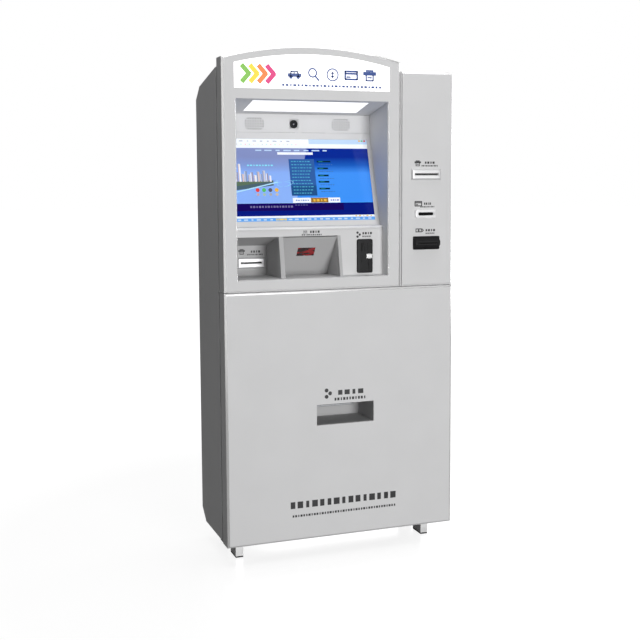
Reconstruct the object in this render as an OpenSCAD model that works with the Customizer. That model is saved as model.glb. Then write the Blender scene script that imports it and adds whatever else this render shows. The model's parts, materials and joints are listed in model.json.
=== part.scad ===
// Free-standing pay station: sheet-steel cabinet with three hinged doors,
// a recessed operating bay and a narrow column of paying devices.
// X runs across the front, Y runs from the front to the back, Z is up.
// Inside the modules X = 0 is the cabinet's left side, Y = 0 the door fronts and
// Z = 0 the foot of the lower door; place() moves that frame to the floor centre.

/* [Cabinet] */
// Overall width
cab_w = 850; // [760:1:1100]
// Depth from the door fronts to the rear panel
cab_d = 360; // [330:1:460]
// Height of the roof's front edge above the foot of the lower door
roof_z = 1635; // [1600:1:1970]
// Fall of the roof from its front edge to the rear bend
roof_fall = 45; // [20:1:60]
// Height of the bend at the top of the rear panel, below the roof's front edge
rear_bend = 89; // [70:1:120]
// Horizontal depth of the rear bends at top and bottom
bend_d = 54; // [30:1:60]
// Rise of the bottom rear bend
base_rise = 43; // [30:1:60]
// Underside of the base above the foot of the lower door
base_z = 5; // [3:1:20]
// Thickness of the sheet steel
sheet = 2; // [1.5:0.1:3]
// Thickness of the base plate
base_t = 3; // [2:0.5:6]

/* [Doors] */
// Depth of a door from its front to the end of its flange
door_d = 66; // [60:1:90]
// Gap between a door's flange and the cabinet's side panel
seam = 12; // [11:0.5:16]
// Height of the lower door
lower_h = 877.5; // [800:0.5:890]
// Gap between the lower door and the doors above it
split = 2; // [2:0.5:8]
// Width of the right-hand column door
column_w = 200; // [190:1:240]
// Groove between the upper door and the column door
groove = 6.4; // [6:0.2:10]
// Top of the column door, below the roof's front edge
column_drop = 3; // [2:1:10]
// Rise of the upper door's crown above the roof's front edge
crown_rise = 71; // [55:1:120]
// Radius of the arched top
crown_r = 1200; // [900:10:1600]
// Bevel along the front edges of the doors
bevel = 7; // [3:0.5:8]
// Width of the return lip behind each door's flange
lip = 20; // [12:1:24]
// Height of the closed header behind the upper door, below the roof's front edge
header_h = 35; // [15:1:55]

/* [Operating bay] */
// Margin between the upper door's sides and the bay
bay_side = 44.5; // [40:0.5:60]
// Bottom of the bay
bay_z0 = 918.5; // [905:0.5:930]
// Top of the bay at the door front
bay_z1 = 1526; // [1510:1:1560]
// Bevel around the mouth of the bay
bay_bevel = 3.5; // [2:0.5:6]
// Depth of the vertical speaker panel
speaker_y = 166.5; // [150:0.5:180]
// Fall of the bay's ceiling from its front to the speaker panel
ceiling_fall = 37.6; // [20:0.1:45]
// Height where the speaker panel meets the monitor panel
speaker_z = 1424.6; // [1415:0.1:1440]
// Depth of the foot of the tilted monitor panel
monitor_y = 71.4; // [65:0.1:80]
// Height of the foot of the tilted monitor panel
monitor_z = 1090.4; // [1088:0.1:1100]
// Margin between the visible screen and the bay's side walls
screen_side = 14.8; // [13.8:0.1:70]
// Height of the visible screen along the tilted panel
screen_h = 297; // [250:1:300]
// Margin below the screen along the tilted panel
screen_foot = 26.2; // [20:0.1:35]
// Thickness of the touch glass
glass_t = 3; // [2:0.5:5]
// Thickness of the display module
display_t = 40; // [30:1:45]
// Pitch of the speaker grille holes
grille_pitch = 9; // [8:0.5:10]
// Radius of a speaker grille hole
grille_r = 2.1; // [1.5:0.1:3]
// Distance of each speaker from the bay's centre line
speaker_x = 161.5; // [120:0.5:180]
// Height of the speakers' and the camera's centre
speaker_cz = 1454; // [1450:1:1460]
// Opening of the camera recess
camera_w = 38; // [30:1:40]
// Height of the bottom edge of the illuminated sign
sign_z0 = 1560.4; // [1550:0.1:1580]
// Rim between the sign and the arched top of the door
sign_rim = 29; // [24:1:40]
// Margin between the sign and the door's sides
sign_side = 42; // [36:0.5:60]
// Width of the light panel in the bay's ceiling
light_w = 420; // [300:1:460]
// Front edge of the light panel
light_y0 = 20; // [15:1:30]
// Rear edge of the light panel
light_y1 = 137; // [110:1:145]

/* [Device panel] */
// Depth of the device panel under the screen
device_y = 46; // [40:1:50]
// Top of the device panel
device_z1 = 1084; // [1080:0.5:1088]
// Top of the two pockets
pocket_z1 = 1063; // [1050:1:1066]
// Width of the receipt pocket
receipt_pocket_w = 159; // [140:1:165]
// Depth of the receipt pocket's back wall
receipt_pocket_y = 190; // [170:1:200]
// Height of the receipt pocket's ceiling at its back wall
receipt_pocket_z = 1027; // [1010:1:1040]
// Width of the fin between the pockets
fin_w = 15.6; // [8:0.2:20]
// Width of the scanner pocket
scanner_pocket_w = 200.4; // [180:0.2:205]
// Depth of the scanner pocket at its floor
scanner_pocket_y = 150; // [120:1:160]
// Width of the fin between the scanner pocket and the coin panel
coin_fin_w = 11; // [6:0.5:14]
// Depth of the fins' front edge at the floor
fin_y = 20; // [12:1:40]
// Width of the scanner window
window_w = 65; // [50:1:90]
// Height of the scanner window along its wall
window_h = 37; // [25:1:45]
// Distance of the window's centre from the top of its wall
window_s = 70; // [55:1:90]
// Width of the coin acceptor bezel
coin_w = 58.5; // [50:0.5:64]
// Height of the coin acceptor bezel
coin_h = 119.5; // [100:0.5:124]
// Centre of the coin bezel, from the bay's right-hand wall
coin_dx = 70.6; // [60:0.1:80]
// Centre height of the coin bezel
coin_z = 988.8; // [984:0.1:992]
// Stand-off of the coin bezel from its panel
coin_proud = 7; // [4:1:12]
// Travel of the coin return button
button_travel = 2.5; // [1.5:0.1:3]

/* [Column devices] */
// Width of the steel bezel of a receipt printer
printer_bezel_w = 115.5; // [100:0.5:118]
// Height of the steel bezel of a receipt printer
printer_bezel_h = 40; // [36:1:44]
// Centre height of the invoice printer's bezel
invoice_z = 1275; // [1260:1:1300]
// Width of the card reader's bezel
card_w = 79.6; // [70:0.1:90]
// Height of the card reader's bezel
card_h = 31; // [28:1:36]
// Centre height of the card reader
card_z = 1135.4; // [1120:0.1:1150]
// Width of the banknote bezel
note_w = 102.5; // [90:0.5:104]
// Height of the banknote bezel
note_h = 47.3; // [44:0.1:52]
// Centre height of the banknote bezel
note_z = 1032.4; // [1025:0.1:1045]
// Forward reach of the banknote bezel's nose
note_nose = 20; // [14:1:26]
// Distance of the devices' centre line from the column door's left edge
device_dx = 91.5; // [88:0.5:100]
// Travel of the banknote cashbox
note_box_travel = 50; // [20:1:55]

/* [Printers] */
// Width of the paper roll
roll_w = 79.5; // [57:0.5:80]
// Radius of a full paper roll
roll_r = 28; // [20:1:30]
// Radius of the roll's spindle
spindle_r = 6; // [5:0.5:8]
// Radius of the rubber platen roller
platen_r = 7; // [5:0.5:8]

/* [Coin system] */
// Left edge of the coin tray's mouth
tray_x = 326; // [250:1:360]
// Width of the coin tray's mouth
tray_w = 215; // [160:1:230]
// Bottom of the coin tray's mouth
tray_z = 403.5; // [380:0.5:420]
// Height of the coin tray's mouth
tray_h = 72.7; // [60:0.1:80]
// Depth of the coin tray
tray_d = 142.5; // [110:0.5:150]
// Top of the shelf that carries the hoppers
shelf_z = 566; // [550:1:600]
// Width of one coin hopper
hopper_w = 105; // [90:1:120]
// Depth of one coin hopper
hopper_d = 170; // [140:1:180]
// Height of one coin hopper
hopper_h = 190; // [150:1:230]
// Travel of the hopper tray towards the front
hopper_travel = 70; // [40:1:75]
// Width of the coin cashbox
cashbox_w = 210; // [160:1:260]
// Depth of the coin cashbox
cashbox_d = 165; // [130:1:170]
// Height of the coin cashbox
cashbox_h = 200; // [150:1:240]
// Travel of the coin cashbox towards the front
cashbox_travel = 40; // [20:1:42]

/* [Hinges and latches] */
// Radius of a hinge knuckle
knuckle_r = 4; // [3:0.1:4.2]
// Radius of a hinge pin
pin_r = 2; // [1.5:0.1:2.2]
// Height of one knuckle
knuckle_h = 40; // [25:1:60]
// Running clearance of shafts and pins, on the radius
run = 0.05; // [0.02:0.01:0.1]
// Reach of a latch cam from its shaft
cam_reach = 34; // [28:1:40]
// Half length of a latch's wing knob
wing = 11; // [8:0.5:11]
// Radius of the lock barrel
barrel_r = 9.4; // [8:0.1:11]
// Height of the door lock
lock_z = 620; // [500:1:700]

/* [Feet] */
// Height of the lower door's foot above the floor
foot_h = 68; // [50:1:120]
// Width of a foot block
foot_w = 27.6; // [20:0.2:60]
// Depth of a foot block
foot_d = 69; // [50:1:90]
// Distance from the cabinet's side to a foot
foot_x = 51.6; // [30:0.2:120]
// Depth of the front feet's front face
foot_y = 90; // [80:1:100]
// Thickness of the rubber pads
pad_t = 5; // [3:0.5:8]
// Radius of an anchor hole in the base plate
anchor_r = 7; // [5:0.5:9]
// Spacing of the anchor holes across the cabinet
anchor_x = 520; // [300:1:560]
// Spacing of the anchor holes from front to back
anchor_y = 130; // [100:1:140]

/* [Rear services] */
// Width of the computer's case
pc_w = 240; // [180:1:280]
// Height of the computer's case
pc_h = 220; // [150:1:260]
// Depth of the computer's case
pc_d = 56; // [40:1:58]
// Side of the square fan frame
fan_w = 120; // [92:1:120]
// Depth of the fan frame
fan_t = 25; // [20:1:38]
// Height of the fan's centre
fan_z = 1430; // [1400:1:1440]
// Bore of the cable gland
gland_r = 9; // [6:0.5:12]

/* [Hidden] */
$fn = 48;

shell_grey = "#646567";
front_grey = "#d5d6d7";
liner_grey = "#cfd0d1";
zinc = "#b4b6b8";
steel = "#c9cbcd";
black_plastic = "#161617";
rubber_black = "#222224";

// Clearance of loose pieces, and of pieces that slide past each other
gap = 0.3;
// Clearance of welded or screwed pieces that meet face to face
seat = 0.05;
head_h = 2.5;
body_y = door_d + seam;
frame_y = body_y - 2.5;
frame_w = 28;
frame_t = 16.5;
mid_y = (cab_d + head_h - note_nose) / 2;
upper_w = cab_w - column_w - groove;
upper_z = lower_h + split;
column_x = cab_w - column_w;
column_top = roof_z - column_drop;
crown_z = roof_z + crown_rise;
crown_cz = crown_z - crown_r;
header_back_z = roof_z - header_h;
post_t = 4;
post_x = column_x - groove / 2 - post_t / 2;
rail_z0 = lower_h - 12;
rail_z1 = upper_z + 12;
hinge_x = 5;
hinge_y = door_d + 4.5;
bay_x0 = bay_side;
bay_x1 = upper_w - bay_side;
wall_x0 = bay_x0 + bay_bevel;
wall_x1 = bay_x1 - bay_bevel;
bay_cx = (bay_x0 + bay_x1) / 2;
screen_w = wall_x1 - wall_x0 - 2 * screen_side;
floor_z = bay_z0 + 2.5;
ceiling_z = bay_z1 - ceiling_fall;
tilt = atan2(speaker_y - monitor_y, speaker_z - monitor_z);
monitor_len = norm([speaker_y - monitor_y, speaker_z - monitor_z]);
nose_r = 12;
pocket1_x1 = wall_x0 + receipt_pocket_w;
pocket2_x0 = pocket1_x1 + fin_w;
pocket2_x1 = pocket2_x0 + scanner_pocket_w;
coin_panel_x = pocket2_x1 + coin_fin_w;
scan_dy = scanner_pocket_y - device_y;
scan_dz = pocket_z1 - floor_z;
scan_a = atan2(scan_dy, scan_dz);
scan_x = (pocket2_x0 + pocket2_x1) / 2 - 3;
coin_x = wall_x1 - coin_dx;
receipt_x = wall_x0 + 101;
receipt_z = 965.5;
device_x = column_x + device_dx;
latch_z = upper_z + 26;
upper_latch_x = wall_x1 - 50;
column_latch_x = column_x + 24;
cam_y = frame_y + frame_t + 0.6;
lock_y = door_d / 2;
lock_x = cab_w - 34;
strike_reach = 51;
printer_w = 102;
printer_d = 110;
printer_h = 96;
side_t = 2;
vent_rows = 8;
vent_pitch = 14;
rear_z1 = roof_z - rear_bend;
rear_z0 = base_z + base_rise;
hinge_zs_lower = [130, lower_h / 2, lower_h - 130];
hinge_zs_upper = [upper_z + 120, (upper_z + roof_z) / 2, roof_z - 150];

// Moves the cabinet's own frame to the centre of its footprint on the floor
module place() { translate([-cab_w / 2, -mid_y, foot_h]) children(); }

// A box between two corners
module box(a, b) { translate(a) cube(b - a); }

// A YZ outline drawn out along X
module along_x(x0, x1) {
    translate([x0, 0, 0]) rotate([90, 0, 90]) linear_extrude(x1 - x0) children();
}

// An XZ outline drawn out along Y
module along_y(y0, y1) {
    translate([0, y1, 0]) rotate([90, 0, 0]) linear_extrude(y1 - y0) children();
}

// An XY outline drawn out along Z
module along_z(z0, z1) { translate([0, 0, z0]) linear_extrude(z1 - z0) children(); }

// Round bars along each axis
module bar_x(x0, x1, y, z, r) { translate([x0, y, z]) rotate([0, 90, 0]) cylinder(r = r, h = x1 - x0); }
module bar_y(y0, y1, x, z, r) { translate([x, y0, z]) rotate([-90, 0, 0]) cylinder(r = r, h = y1 - y0); }
module bar_z(z0, z1, x, y, r) { translate([x, y, z0]) cylinder(r = r, h = z1 - z0); }

// A rectangle with rounded corners, centred
module round_rect(w, h, r) {
    for (x = [-w / 2 + r, w / 2 - r], z = [-h / 2 + r, h / 2 - r]) translate([x, z]) circle(r);
    square([w - 2 * r, h], center = true);
    square([w, h - 2 * r], center = true);
}

// A rounded plate facing the front, centred on x and z
module plate_y(y0, y1, x, z, w, h, r) {
    along_y(y0, y1) translate([x, z]) round_rect(w, h, r);
}

// ---------------------------------------------------------------- cabinet

// Side outline of the cabinet, drawn in by a margin
module cabinet_outline(m = 0) {
    polygon([[body_y, base_z + m], [cab_d - bend_d, base_z + m], [cab_d - m, rear_z0],
        [cab_d - m, rear_z1], [cab_d - bend_d, roof_z - roof_fall - m],
        [body_y, roof_z - m]]);
}

module side_panel(x0) { along_x(x0, x0 + sheet) cabinet_outline(); }

module left_side_panel() { color(shell_grey) place() side_panel(0); }

module right_side_panel() { color(shell_grey) place() side_panel(cab_w - sheet); }

// Roof and upper rear bend between the side panels
module roof_panel() {
    color(shell_grey) place() along_x(sheet, cab_w - sheet) difference() {
        cabinet_outline();
        cabinet_outline(sheet);
        translate([0, -1]) square([cab_d + 1, rear_z1 + 1]);
    }
}

// Rear wall with the fan grille, two banks of vent slots and its screw holes
module rear_panel() {
    fan_rings = [[0, 1], [17, 6], [33, 12], [48, 18]];
    color(shell_grey) place() difference() {
        box([sheet, cab_d - sheet, rear_z0], [cab_w - sheet, cab_d, rear_z1]);
        for (ring = fan_rings, i = [0:ring[1] - 1]) {
            a = i * 360 / ring[1];
            bar_y(cab_d - sheet - 1, cab_d + 1, cab_w / 2 + ring[0] * cos(a), fan_z + ring[0] * sin(a), 5.5);
        }
        for (z = [140, 780], x = [cab_w * 0.27, cab_w * 0.73], i = [0:vent_rows - 1])
            plate_y(cab_d - sheet - 1, cab_d + 1, x, z + i * vent_pitch, 120, 6, 2.9);
        rear_screw_places() bar_y(cab_d - sheet - 1, cab_d + 1, 0, 0, 2.75);
    }
}

module rear_screw_places() {
    for (x = [25, cab_w / 2 - 180, cab_w / 2 + 180, cab_w - 25], z = [rear_z0 + 30, rear_z1 - 30])
        translate([x, 0, z]) children();
    for (x = [25, cab_w - 25], i = [1:3])
        translate([x, 0, rear_z0 + i * (rear_z1 - rear_z0) / 4]) children();
}

// Pan-head screws of the rear panel
module panel_screws() {
    color(steel) place() rear_screw_places() {
        bar_y(cab_d - sheet - 6, cab_d, 0, 0, 2.5);
        difference() {
            bar_y(cab_d, cab_d + head_h, 0, 0, 5);
            translate([0, cab_d + head_h, 0]) cube([6, 2, 1.2], center = true);
            translate([0, cab_d + head_h, 0]) cube([1.2, 2, 6], center = true);
        }
    }
}

// Floor of the cabinet with its rear bend, anchor holes and gland hole
module base_plate() {
    color(shell_grey) place() difference() {
        union() {
            box([sheet, body_y, base_z], [cab_w - sheet, cab_d - bend_d, base_z + base_t]);
            along_x(sheet, cab_w - sheet) polygon([[cab_d - bend_d, base_z],
                [cab_d, rear_z0], [cab_d - sheet, rear_z0], [cab_d - bend_d - 1, base_z + base_t]]);
        }
        for (sx = [-1, 1], sy = [-1, 1])
            bar_z(base_z - 1, base_z + base_t + 1, cab_w / 2 + sx * anchor_x / 2, anchor_cy() + sy * anchor_y / 2, anchor_r);
        bar_z(base_z - 1, base_z + base_t + 1, gland_x(), gland_y(), gland_r + 4.5);
    }
}

function anchor_cy() = (body_y + cab_d - bend_d) / 2;
function gland_x() = cab_w - 190;
function gland_y() = anchor_cy();

// Cable gland screwed into the base plate
module cable_gland() {
    color(rubber_black) place() difference() {
        union() {
            bar_z(base_z - 22, base_z + base_t + 8, gland_x(), gland_y(), gland_r + 4.3);
            bar_z(base_z - 4, base_z, gland_x(), gland_y(), gland_r + 9);
            translate([gland_x(), gland_y(), base_z + base_t]) cylinder(r = gland_r + 10, h = 5, $fn = 6);
            translate([gland_x(), gland_y(), base_z - 20]) cylinder(r = gland_r + 8, h = 12, $fn = 6);
        }
        bar_z(base_z - 23, base_z + base_t + 9, gland_x(), gland_y(), gland_r);
    }
}

// Welded front frame: jambs, rails and the pin that the lock's hook catches
module front_frame() {
    color(zinc) place() {
        for (s = [0, 1]) translate([s * cab_w, 0, 0]) mirror([s, 0, 0])
            along_z(base_z + base_t, roof_z - 7) polygon([[6, frame_y], [frame_w, frame_y],
                [frame_w, frame_y + frame_t], [sheet, frame_y + frame_t], [sheet, body_y + 2], [6, body_y + 2]]);
        for (z = [[base_z + base_t, base_z + base_t + 22], [rail_z0, rail_z1], [roof_z - 29, roof_z - 7]])
            box([frame_w + seat, frame_y, z[0]], [cab_w - frame_w - seat, frame_y + frame_t, z[1]]);
        bar_x(lock_x - 6, cab_w - frame_w - seat, lock_y + strike_reach, lock_z - 4.5, 4);
    }
}

// Flat post in the groove between the upper doors
module centre_post() {
    color(front_grey) place() along_x(post_x, post_x + post_t) polygon([[4, upper_z],
        [frame_y, upper_z], [frame_y, rail_z1], [frame_y + 26, rail_z1], [frame_y + 26, roof_z - 29],
        [frame_y, roof_z - 29], [frame_y, column_top], [4, column_top]]);
}

// Rubber seals on the frame, one around the lower door and one around the upper pair
module door_seals() {
    color(rubber_black) place() {
        seal_ring(12, lower_h - 6);
        difference() {
            seal_ring(upper_z + 6, roof_z - 9);
            box([post_x - gap, 0, 0], [post_x + post_t + gap, frame_y + 1, roof_z]);
        }
    }
}

module seal_ring(z0, z1) {
    w = 6;
    difference() {
        box([12, door_d + gap, z0], [cab_w - 12, frame_y, z1]);
        box([12 + w, 0, z0 + w], [cab_w - 12 - w, frame_y + 1, z1 - w]);
    }
}

// ---------------------------------------------------------------- hinges

// Places its children at each hinge of the doors hung on the left
module left_hinges(zs) { for (z = zs) translate([0, 0, z]) children(); }

// The same, turned over for the column door on the right
module right_hinges(zs) { translate([cab_w, 0, 0]) mirror([1, 0, 0]) left_hinges(zs) children(); }

// Lower knuckle on the frame
module fixed_knuckle() {
    difference() {
        union() {
            bar_z(-knuckle_h, -0.25, hinge_x, hinge_y, knuckle_r);
            box([hinge_x - 2.4, hinge_y, -knuckle_h], [6, body_y + 2, -0.25]);
        }
        bar_z(-knuckle_h - 1, 1, hinge_x, hinge_y, pin_r);
    }
}

// Upper knuckle on the door
module door_knuckle() {
    difference() {
        union() {
            bar_z(0.25, knuckle_h, hinge_x, hinge_y, knuckle_r);
            box([sheet, door_d - 28, 0.25], [hinge_x, hinge_y, knuckle_h]);
        }
        bar_z(-1, knuckle_h + 1, hinge_x, hinge_y, pin_r + run);
    }
}

module cabinet_hinges() {
    color(steel) place() {
        left_hinges(concat(hinge_zs_lower, hinge_zs_upper)) fixed_knuckle();
        right_hinges(hinge_zs_upper) fixed_knuckle();
    }
}

module hinge_pins() {
    color(steel) place() {
        left_hinges(concat(hinge_zs_lower, hinge_zs_upper)) bar_z(-knuckle_h, knuckle_h - 2, hinge_x, hinge_y, pin_r);
        right_hinges(hinge_zs_upper) bar_z(-knuckle_h, knuckle_h - 2, hinge_x, hinge_y, pin_r);
    }
}

// ---------------------------------------------------------------- doors

// Outer body of a door, drawn in by a margin; an arched one also follows the crown,
// and a door with a square left edge has no bevel there
module door_form(x0, x1, z0, z1, m, y1, arched = false, square_left = false) {
    b = bevel - m * 0.586;
    left_b = square_left ? 0 : b;
    top = arched ? crown_z + 1 : z1 - m;
    top_b = arched ? 0 : b;
    intersection() {
        along_z(z0, z1 + 200) polygon([[x0 + m, y1], [x0 + m, m + left_b], [x0 + m + left_b, m],
            [x1 - m - b, m], [x1 - m, m + b], [x1 - m, y1]]);
        along_x(x0, x1) polygon([[y1, z0 + m], [m + b, z0 + m], [m, z0 + m + b],
            [m, top - top_b], [m + top_b, top], [y1, top]]);
        if (arched) translate([(x0 + x1) / 2, m, crown_cz]) rotate([-90, 0, 0]) {
            cylinder(r1 = crown_r - m - b, r2 = crown_r - m, h = b, $fn = 360);
            translate([0, 0, b]) cylinder(r = crown_r - m, h = y1 - m - b, $fn = 360);
        }
    }
}

// Folded door skin with flanges and return lips; children are cut out of it
module door_skin(x0, x1, z0, z1, arched = false, back_top = 0, square_left = false) {
    lip_z1 = arched ? back_top : z1 - lip;
    difference() {
        union() {
            difference() {
                door_form(x0, x1, z0, z1, 0, door_d, arched, square_left);
                door_form(x0, x1, z0, z1, sheet, door_d + 1, arched, square_left);
            }
            difference() {
                intersection() {
                    door_form(x0, x1, z0, z1, 0, door_d, arched, square_left);
                    box([x0, door_d - sheet, z0], [x1, door_d, crown_z]);
                }
                box([x0 + lip, 0, z0 + lip], [x1 - lip, door_d + 1, lip_z1]);
            }
        }
        children();
    }
}

// Welded bracket that carries a latch shaft behind the door's lower lip
module latch_bracket(x) {
    difference() {
        union() {
            box([x - 16, door_d, upper_z + 15.5], [x + 16, cam_y - 2.6, upper_z + 17.5]);
            box([x - 16, cam_y - 5.6, upper_z + 15.5], [x + 16, cam_y - 2.6, latch_z + 9]);
        }
        bar_y(cam_y - 7, cam_y, x, latch_z, 4 + run);
    }
}

// Quarter-turn latch: shaft, cam and wing knob; the cam points along +X when open
module latch(x) {
    bar_y(cam_y - 6, cam_y + 2.5, x, latch_z, 4);
    bar_y(cam_y - 8.5, cam_y - 6, x, latch_z, 7);
    along_y(cam_y - 0.2, cam_y + 2.8) translate([x, latch_z]) {
        circle(7);
        translate([0, -5]) square([cam_reach, 10]);
    }
    bar_y(cam_y + 2.8, cam_y + 8, x, latch_z, 7);
    box([x - wing, cam_y + 8, latch_z - 2.5], [x + wing, cam_y + 20, latch_z + 2.5]);
}

// Outline of the sign window, grown by a margin
module sign_outline(m) {
    intersection() {
        translate([sign_side - m, sign_z0 - m]) square([upper_w - 2 * sign_side + 2 * m, 200]);
        translate([upper_w / 2, crown_cz]) circle(crown_r - sign_rim + m, $fn = 360);
    }
}

// Upper door: bay mouth and sign window in an arched skin
module upper_door_shell() {
    color(front_grey) place() {
        door_skin(0, upper_w, upper_z, crown_z, true, header_back_z) {
            box([bay_x0, -1, bay_z0], [bay_x1, 5, bay_z1]);
            along_y(-1, 5) sign_outline(0);
        }
        left_hinges(hinge_zs_upper) door_knuckle();
        latch_bracket(upper_latch_x);
    }
}

module upper_latch() { color(zinc) place() latch(upper_latch_x); }

// Side walls of the bay with their bevelled front edge
module bay_side_panels() {
    color(liner_grey) place() for (s = [0, 1])
        translate([s * upper_w, 0, 0]) mirror([s, 0, 0]) along_z(bay_z0, bay_z1)
            polygon([[bay_x0, 0], [wall_x0, bay_bevel], [wall_x0, receipt_pocket_y + sheet],
                [wall_x0 - sheet, receipt_pocket_y + sheet], [wall_x0 - sheet, bay_bevel + 1],
                [bay_x0, 2.4]]);
}

// Height of the sloping ceiling's underside at a depth
function ceiling_at(y) = bay_z1 - ceiling_fall * y / speaker_y;

module ceiling_slab(y0, y1, lift, t) {
    polygon([[y0, ceiling_at(y0) + lift], [y1, ceiling_at(y1) + lift],
        [y1, ceiling_at(y1) + lift + t], [y0, ceiling_at(y0) + lift + t]]);
}

// Sloping ceiling of the bay with the opening for its light
module bay_ceiling() {
    color(liner_grey) place() difference() {
        along_x(wall_x0, wall_x1) ceiling_slab(sheet, speaker_y + sheet, 0, sheet);
        box([bay_cx - light_w / 2, light_y0, ceiling_z - 20], [bay_cx + light_w / 2, light_y1, bay_z1 + 20]);
    }
}

// Light fitting over the ceiling: opal panel with its rim, and the lamp tray behind it
module downlight() {
    x0 = bay_cx - light_w / 2;
    x1 = bay_cx + light_w / 2;
    color("white") place() {
        along_x(x0 + gap, x1 - gap) ceiling_slab(light_y0 + gap, light_y1 - gap, 0.5, sheet + seat - 0.5);
        along_x(x0 - 6, x1 + 6) ceiling_slab(light_y0 - 5, light_y1 + 5, sheet + seat, 2);
        difference() {
            along_x(x0 - 6, x1 + 6) ceiling_slab(light_y0 - 5, light_y1 + 5, sheet + seat + 2, 26);
            along_x(x0 - 4.5, x1 + 4.5) ceiling_slab(light_y0 - 3.5, light_y1 + 3.5, sheet + seat + 1, 25.5);
        }
    }
}

// Centres of one speaker's grille holes: five rows, the outer two shortened
module grille_places(x) {
    for (r = [-2:2], c = [0:7])
        if (abs(r) < 2 || (c > 0 && c < 7))
            translate([x + (c - 3.5) * grille_pitch, 0, speaker_cz + r * grille_pitch]) children();
}

// Vertical panel over the screen with two grilles and the camera opening
module speaker_panel() {
    color(liner_grey) place() difference() {
        box([wall_x0, speaker_y, speaker_z], [wall_x1, speaker_y + sheet, ceiling_at(speaker_y + sheet)]);
        for (s = [-1, 1]) grille_places(bay_cx + s * speaker_x)
            bar_y(speaker_y - 1, speaker_y + sheet + 1, 0, 0, grille_r);
        box([camera_x() - camera_w / 2, speaker_y - 1, speaker_cz - camera_w / 2],
            [camera_x() + camera_w / 2, speaker_y + sheet + 1, speaker_cz + camera_w / 2]);
    }
}

function camera_x() = bay_cx - 15.5;

// Loudspeakers: basket with a rim, and a magnet behind
module speakers() {
    color("#303033") place() for (s = [-1, 1]) translate([bay_cx + s * speaker_x, 0, speaker_cz + 1]) {
        difference() {
            bar_y(speaker_y + sheet, speaker_y + sheet + 8, 0, 0, 27.5);
            bar_y(speaker_y + sheet - 1, speaker_y + sheet + 5, 0, 0, 24);
        }
        bar_y(speaker_y + sheet + 8, speaker_y + sheet + 24, 0, 0, 18);
    }
}

// Camera in a square recess with sloping sides
module camera() {
    w = camera_w - 2 * gap;
    color("#8d8f92") place() translate([camera_x(), 0, speaker_cz]) {
        difference() {
            union() {
                box([-w / 2, speaker_y, -w / 2], [w / 2, speaker_y + 22, w / 2]);
                box([-w / 2 - 5, speaker_y + sheet, -w / 2 - 5], [w / 2 + 5, speaker_y + 6, w / 2 + 5]);
            }
            hull() {
                box([-w / 2 + 1.5, speaker_y - 1, -w / 2 + 1.5], [w / 2 - 1.5, speaker_y - 0.5, w / 2 - 1.5]);
                box([-11, speaker_y + 8, -11], [11, speaker_y + 9, 11]);
            }
        }
        difference() {
            bar_y(speaker_y + 3, speaker_y + 9, 0, 0, 9.5);
            bar_y(speaker_y + 2, speaker_y + 5, 0, 0, 7);
        }
    }
}

// Frame of the tilted monitor panel: z runs up the panel and y into the cabinet
module on_monitor() { translate([0, monitor_y, monitor_z]) rotate([-tilt, 0, 0]) children(); }

// Tilted panel around the screen, with the rounded ledge at its foot
module monitor_panel() {
    color(liner_grey) place() {
        on_monitor() difference() {
            box([wall_x0, 0, 6], [wall_x1, sheet, monitor_len - 0.6]);
            box([bay_cx - screen_w / 2, -1, screen_foot],
                [bay_cx + screen_w / 2, sheet + 1, screen_foot + screen_h]);
        }
        along_x(wall_x0, wall_x1) difference() {
            union() {
                translate([device_y + nose_r, device_z1 + gap]) circle(nose_r);
                translate([device_y + nose_r, device_z1 + gap]) square([monitor_y - device_y - nose_r + 3, nose_r]);
            }
            translate([device_y - 1, device_z1 - nose_r]) square([60, nose_r + gap]);
        }
    }
}

// Touch glass held against the back of the panel
module touch_glass() {
    color([0.2, 0.3, 0.5, 0.6]) place() on_monitor()
        box([bay_cx - screen_w / 2 - 8, sheet, screen_foot - 8],
            [bay_cx + screen_w / 2 + 8, sheet + glass_t, screen_foot + screen_h + 8]);
}

// Display module behind the glass
module display_module() {
    color("#3a3b3e") place() on_monitor() {
        y = sheet + glass_t;
        box([bay_cx - screen_w / 2 - 10, y, screen_foot - 10],
            [bay_cx + screen_w / 2 + 10, y + 18, screen_foot + screen_h + 4]);
        box([bay_cx - 120, y + 18, screen_foot + 60], [bay_cx + 120, y + display_t, screen_foot + 240]);
    }
}

// ---------------------------------------------------------------- device panel

// Device panel under the screen with its floor and front lip
module device_panel() {
    color(liner_grey) place() difference() {
        union() {
            box([wall_x0, device_y, floor_z], [wall_x1, device_y + sheet, device_z1]);
            along_x(wall_x0, wall_x1) polygon([[0, bay_z0], [bay_bevel, floor_z],
                [receipt_pocket_y + sheet, floor_z], [receipt_pocket_y + sheet, floor_z - sheet],
                [bay_bevel + 1, floor_z - sheet], [sheet, bay_z0 - sheet], [sheet, bay_z0], [0, bay_z0]]);
        }
        box([wall_x0 - 1, device_y - 1, floor_z], [pocket1_x1, device_y + 3, pocket_z1]);
        box([pocket2_x0, device_y - 1, floor_z], [pocket2_x1, device_y + 3, pocket_z1]);
        plate_y(device_y - 1, device_y + 3, coin_x, coin_z, coin_w - 8, coin_h - 8, 3);
    }
}

// Outline of a fin: its front edge leans forward towards the floor
module fin_outline(y1) {
    polygon([[fin_y, floor_z], [device_y, pocket_z1], [y1, pocket_z1], [y1, floor_z]]);
}

module fin(x0, x1, y1) {
    t = 1.5;
    difference() {
        along_x(x0, x1) fin_outline(y1);
        along_x(x0 + t, x1 - t) translate([t * 1.2, 0]) fin_outline(y1 + 5);
    }
}

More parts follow.
